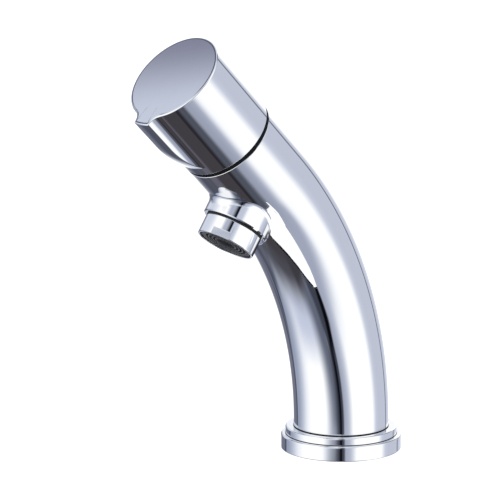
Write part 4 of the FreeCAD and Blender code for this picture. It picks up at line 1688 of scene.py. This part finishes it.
class Studio:
    """The world: a white ground for the camera, and a studio of cards for the metal and the light."""

    def __init__(self) -> None:
        """Starts the world's nodes."""
        self.world = bpy.data.worlds.new("studio")
        bpy.context.scene.world = self.world
        self.world.use_nodes = True
        self.tree = self.world.node_tree
        self.tree.nodes.clear()

    def feed(self, socket: bpy.types.NodeSocket, value: float | Colour | bpy.types.NodeSocket) -> None:
        """Links an input to an output, or sets it to a value.

        Args:
            socket: the input.
            value: the output or the value.
        """
        if isinstance(value, bpy.types.NodeSocket):
            self.tree.links.new(value, socket)
        else:
            socket.default_value = value

    def math(self, operation: str, *values: float | bpy.types.NodeSocket) -> bpy.types.NodeSocket:
        """Adds a Math node.

        Args:
            operation: the node's operation.
            values: numbers or sockets for its inputs.

        Returns:
            Its output.
        """
        node = self.tree.nodes.new("ShaderNodeMath")
        node.operation = operation
        for number, value in enumerate(values):
            self.feed(node.inputs[number], value)
        return node.outputs[0]

    def edge(self, value: bpy.types.NodeSocket, low: float, high: float) -> bpy.types.NodeSocket:
        """Adds a soft step.

        Args:
            value: the socket that is looked at.
            low: where the step is 0.
            high: where it is 1, above or below low.

        Returns:
            A socket from 0 to 1.
        """
        node = self.tree.nodes.new("ShaderNodeMapRange")
        node.interpolation_type = "SMOOTHSTEP"
        rising = low < high
        set_inputs(node, {"From Min": min(low, high), "From Max": max(low, high),
                          "To Min": 0.0 if rising else 1.0, "To Max": 1.0 if rising else 0.0})
        self.tree.links.new(value, node.inputs["Value"])
        return node.outputs["Result"]

    def mask(self, card: Card, azimuth: bpy.types.NodeSocket,
             elevation: bpy.types.NodeSocket) -> bpy.types.NodeSocket:
        """Adds the soft rectangle of a card.

        Args:
            card: the card.
            azimuth: socket of the direction's azimuth.
            elevation: socket of its elevation.

        Returns:
            A socket that is the card's weight inside it and 0 outside.
        """
        left, right, bottom, top = card.soft
        masks = [self.edge(elevation, card.bottom - bottom, card.bottom + bottom),
                 self.edge(elevation, card.top + top, card.top - top)]
        if card.right - card.left < 360:
            middle, half = (card.left + card.right) / 2, (card.right - card.left) / 2
            centre = self.math("MULTIPLY_ADD", elevation, card.lean, middle)
            offset = self.math("WRAP", self.math("SUBTRACT", azimuth, centre), 180.0, -180.0)
            masks.append(self.edge(offset, -half - left, -half + left))
            masks.append(self.edge(offset, half + right, half - right))
        cover = masks[0]
        for other in masks[1:]:
            cover = self.math("MULTIPLY", cover, other)
        return self.math("MULTIPLY", cover, card.weight)

    def paint(self, below: Colour | bpy.types.NodeSocket, above: Colour,
              share: bpy.types.NodeSocket) -> bpy.types.NodeSocket:
        """Lays a colour over what is there.

        Args:
            below: the colour so far.
            above: the new colour.
            share: how much the new colour covers.

        Returns:
            The socket of the mixed colour.
        """
        mix = self.tree.nodes.new("ShaderNodeMix")
        mix.data_type = "RGBA"
        self.feed(mix.inputs[0], share)
        self.feed(mix.inputs[6], below)
        self.feed(mix.inputs[7], above)
        return mix.outputs[2]

    def build(self) -> None:
        """Builds the world."""
        tree = self.tree
        direction = tree.nodes.new("ShaderNodeTexCoord").outputs["Generated"]
        parts = tree.nodes.new("ShaderNodeSeparateXYZ")
        tree.links.new(direction, parts.inputs[0])
        x, y, z = parts.outputs
        azimuth = self.math("DEGREES", self.math("ARCTAN2", x, self.math("MULTIPLY", y, -1.0)))
        elevation = self.math("DEGREES", self.math("ARCSINE", z))
        colour: Colour | bpy.types.NodeSocket = ROOM
        for card in CARDS:
            colour = self.paint(colour, card.colour, self.mask(card, azimuth, elevation))

        rays = tree.nodes.new("ShaderNodeLightPath")
        ground = tree.nodes.new("ShaderNodeBackground")
        tree.links.new(self.paint(colour, WHITE, rays.outputs["Is Camera Ray"]), ground.inputs["Color"])
        output = tree.nodes.new("ShaderNodeOutputWorld")
        tree.links.new(ground.outputs[0], output.inputs["Surface"])


@dataclass
class Floor:
    """The plain floor, white to the camera, which keeps the tap's soft shadow.

    Args:
        size: its width.
        glow: how much of its white is its own.
        paint: how much light it gives back.
    """

    size: float = 8.0
    glow: float = 0.62
    paint: float = 0.6

    def build(self) -> None:
        """Builds the floor, which the metal doesn't see."""
        bpy.ops.object.select_all(action="DESELECT")
        bpy.ops.mesh.primitive_plane_add(size=self.size)
        floor = bpy.context.object
        floor.name = "floor"
        material = bpy.data.materials.new("floor")
        material.use_nodes = True
        shader = material.node_tree.nodes["Principled BSDF"]
        set_inputs(shader, {"Base Color": (self.paint, self.paint, self.paint, 1), "Roughness": 0.9,
                            "Specular IOR Level": 0.0, "Emission Color": (1, 1, 1, 1),
                            "Emission Strength": self.glow})
        floor.data.materials.append(material)
        floor.visible_glossy = False


@dataclass
class Lamp:
    """A large soft lamp that only lights, and isn't seen in the metal.

    Args:
        name: its name.
        place: where it stands, in metres.
        size: width of its square, in metres.
        power: its power in watts.
        aim: the point that it lights, in metres.
    """

    name: str
    place: tuple[float, float, float]
    size: float
    power: float
    aim: tuple[float, float, float] = (0.0, -0.05, 0.1)

    def build(self) -> None:
        """Builds the lamp, aimed at the tap's middle."""
        data = bpy.data.lights.new(self.name, "AREA")
        data.shape = "SQUARE"
        data.size = self.size
        data.energy = self.power
        lamp = bpy.data.objects.new(self.name, data)
        bpy.context.scene.collection.objects.link(lamp)
        turn = (Vector(self.aim) - Vector(self.place)).to_track_quat("-Z", "Y")
        lamp.matrix_world = Matrix.Translation(self.place) @ turn.to_matrix().to_4x4()
        lamp.visible_glossy = False
        lamp.visible_camera = False


@dataclass
class PhotoCamera:
    """The camera at the photograph's place.

    Args:
        azimuth: its bearing round the tap, in degrees.
        elevation: its elevation, in degrees.
        distance: distance from the target, in mm.
        target: the point in the middle of the frame.
        focal: focal length in sensor widths.
        sensor: width of the sensor, in mm.
        clip: the least and the greatest distance that it sees, in metres.
    """

    azimuth: float = 48.69
    elevation: float = 11.28
    distance: float = 1320.0
    target: tuple[float, float, float] = (0.0, -54.77, 97.91)
    focal: float = 6.0676
    sensor: float = 36.0
    clip: tuple[float, float] = (0.01, 50.0)

    def build(self) -> None:
        """Builds the camera and makes it the scene's."""
        side, rise = math.radians(self.azimuth), math.radians(self.elevation)
        back = Vector((math.sin(side) * math.cos(rise), -math.cos(side) * math.cos(rise), math.sin(rise)))
        data = bpy.data.cameras.new("photo_camera")
        data.sensor_width = self.sensor
        data.lens = self.focal * self.sensor
        data.clip_start, data.clip_end = self.clip
        camera = bpy.data.objects.new("photo_camera", data)
        bpy.context.scene.collection.objects.link(camera)
        place = (Vector(self.target) + back * self.distance) * MM
        turn = (-back).to_track_quat("-Z", "Y")
        camera.matrix_world = Matrix.Translation(place) @ turn.to_matrix().to_4x4()
        bpy.context.scene.camera = camera


LAMPS = (
    Lamp("lamp over the left shoulder", (-0.9, -1.1, 1.3), 1.2, 14.0),
    Lamp("lamp at the right", (1.3, -0.4, 0.9), 1.0, 9.0),
)

KEPT_NODES = (
    "base_gasket", "foot_insert", "foot_o_ring", "inlet_strainer", "headwork_body", "headwork_gasket",
    "seat_seal", "ceramic_disc_fixed", "thrust_washer", "aerator_insert", "aerator_diffuser",
    "aerator_screen", "aerator_washer", "ceramic_disc_moving", "spindle", "spindle_o_rings", "stop_ring",
    "spindle_clip", "knob_hub", "knob_grub_screw",
)


def main() -> None:
    """Builds the scene."""
    logging.basicConfig(level=logging.INFO, format="%(name)s: %(message)s")
    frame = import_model()
    bpy.context.scene.view_settings.view_transform = "Standard"
    shop, lines = Workshop(frame), TapLines()

    # the board beside the sleeve paints the pocket's shade into the chrome
    for stage in (PhotoCamera(), Studio(), Floor(), *BOARDS, sleeve_shade_board(), *LAMPS):
        stage.build()

    steps, rings = BaseSteps(lines), ThinRings(lines)
    shop.hand_over(steps.build_flange(), "base_flange", "tap_body")
    shop.hand_over(steps.build_ring(), "base_ring", "tap_body")
    shop.hand_over(BodySkin(lines).build(), "body_shell", "tap_body")
    shop.hand_over(AeratorSleeve(lines).build(), "aerator_housing", "tap_body")
    shop.hand_over(KnobSkin(lines).build(), "knob_shell", "knob")
    shop.hand_over(rings.build_glide(), "glide_ring", "tap_body")

    outlet, base = lines.outlet(), lines.base()
    for name, place, sizes, rounding, slot in (
            # a black ring painted as the shadow in the sleeve's undercut
            ("sleeve_shade_ring", outlet, rings.seal, 0.15, "seal_rubber"),
            ("mouth_groove_ring", outlet, rings.groove, 0.1, "seal_rubber"),
            ("mouth_ring", outlet, rings.mouth, 0.15, "grey_plastic"),
            # black rings painted as the shadow in the joints of the base
            ("foot_shade_ring", base, rings.foot, 0.1, "seal_rubber"),
            ("step_shade_ring", base, rings.step, 0.05, "seal_rubber")):
        shop.add(rings.build_ring(name, place, sizes, rounding), slot, "tap_body")
    for node in KEPT_NODES:
        shop.keep(node)


if __name__ == "__main__":
    main()
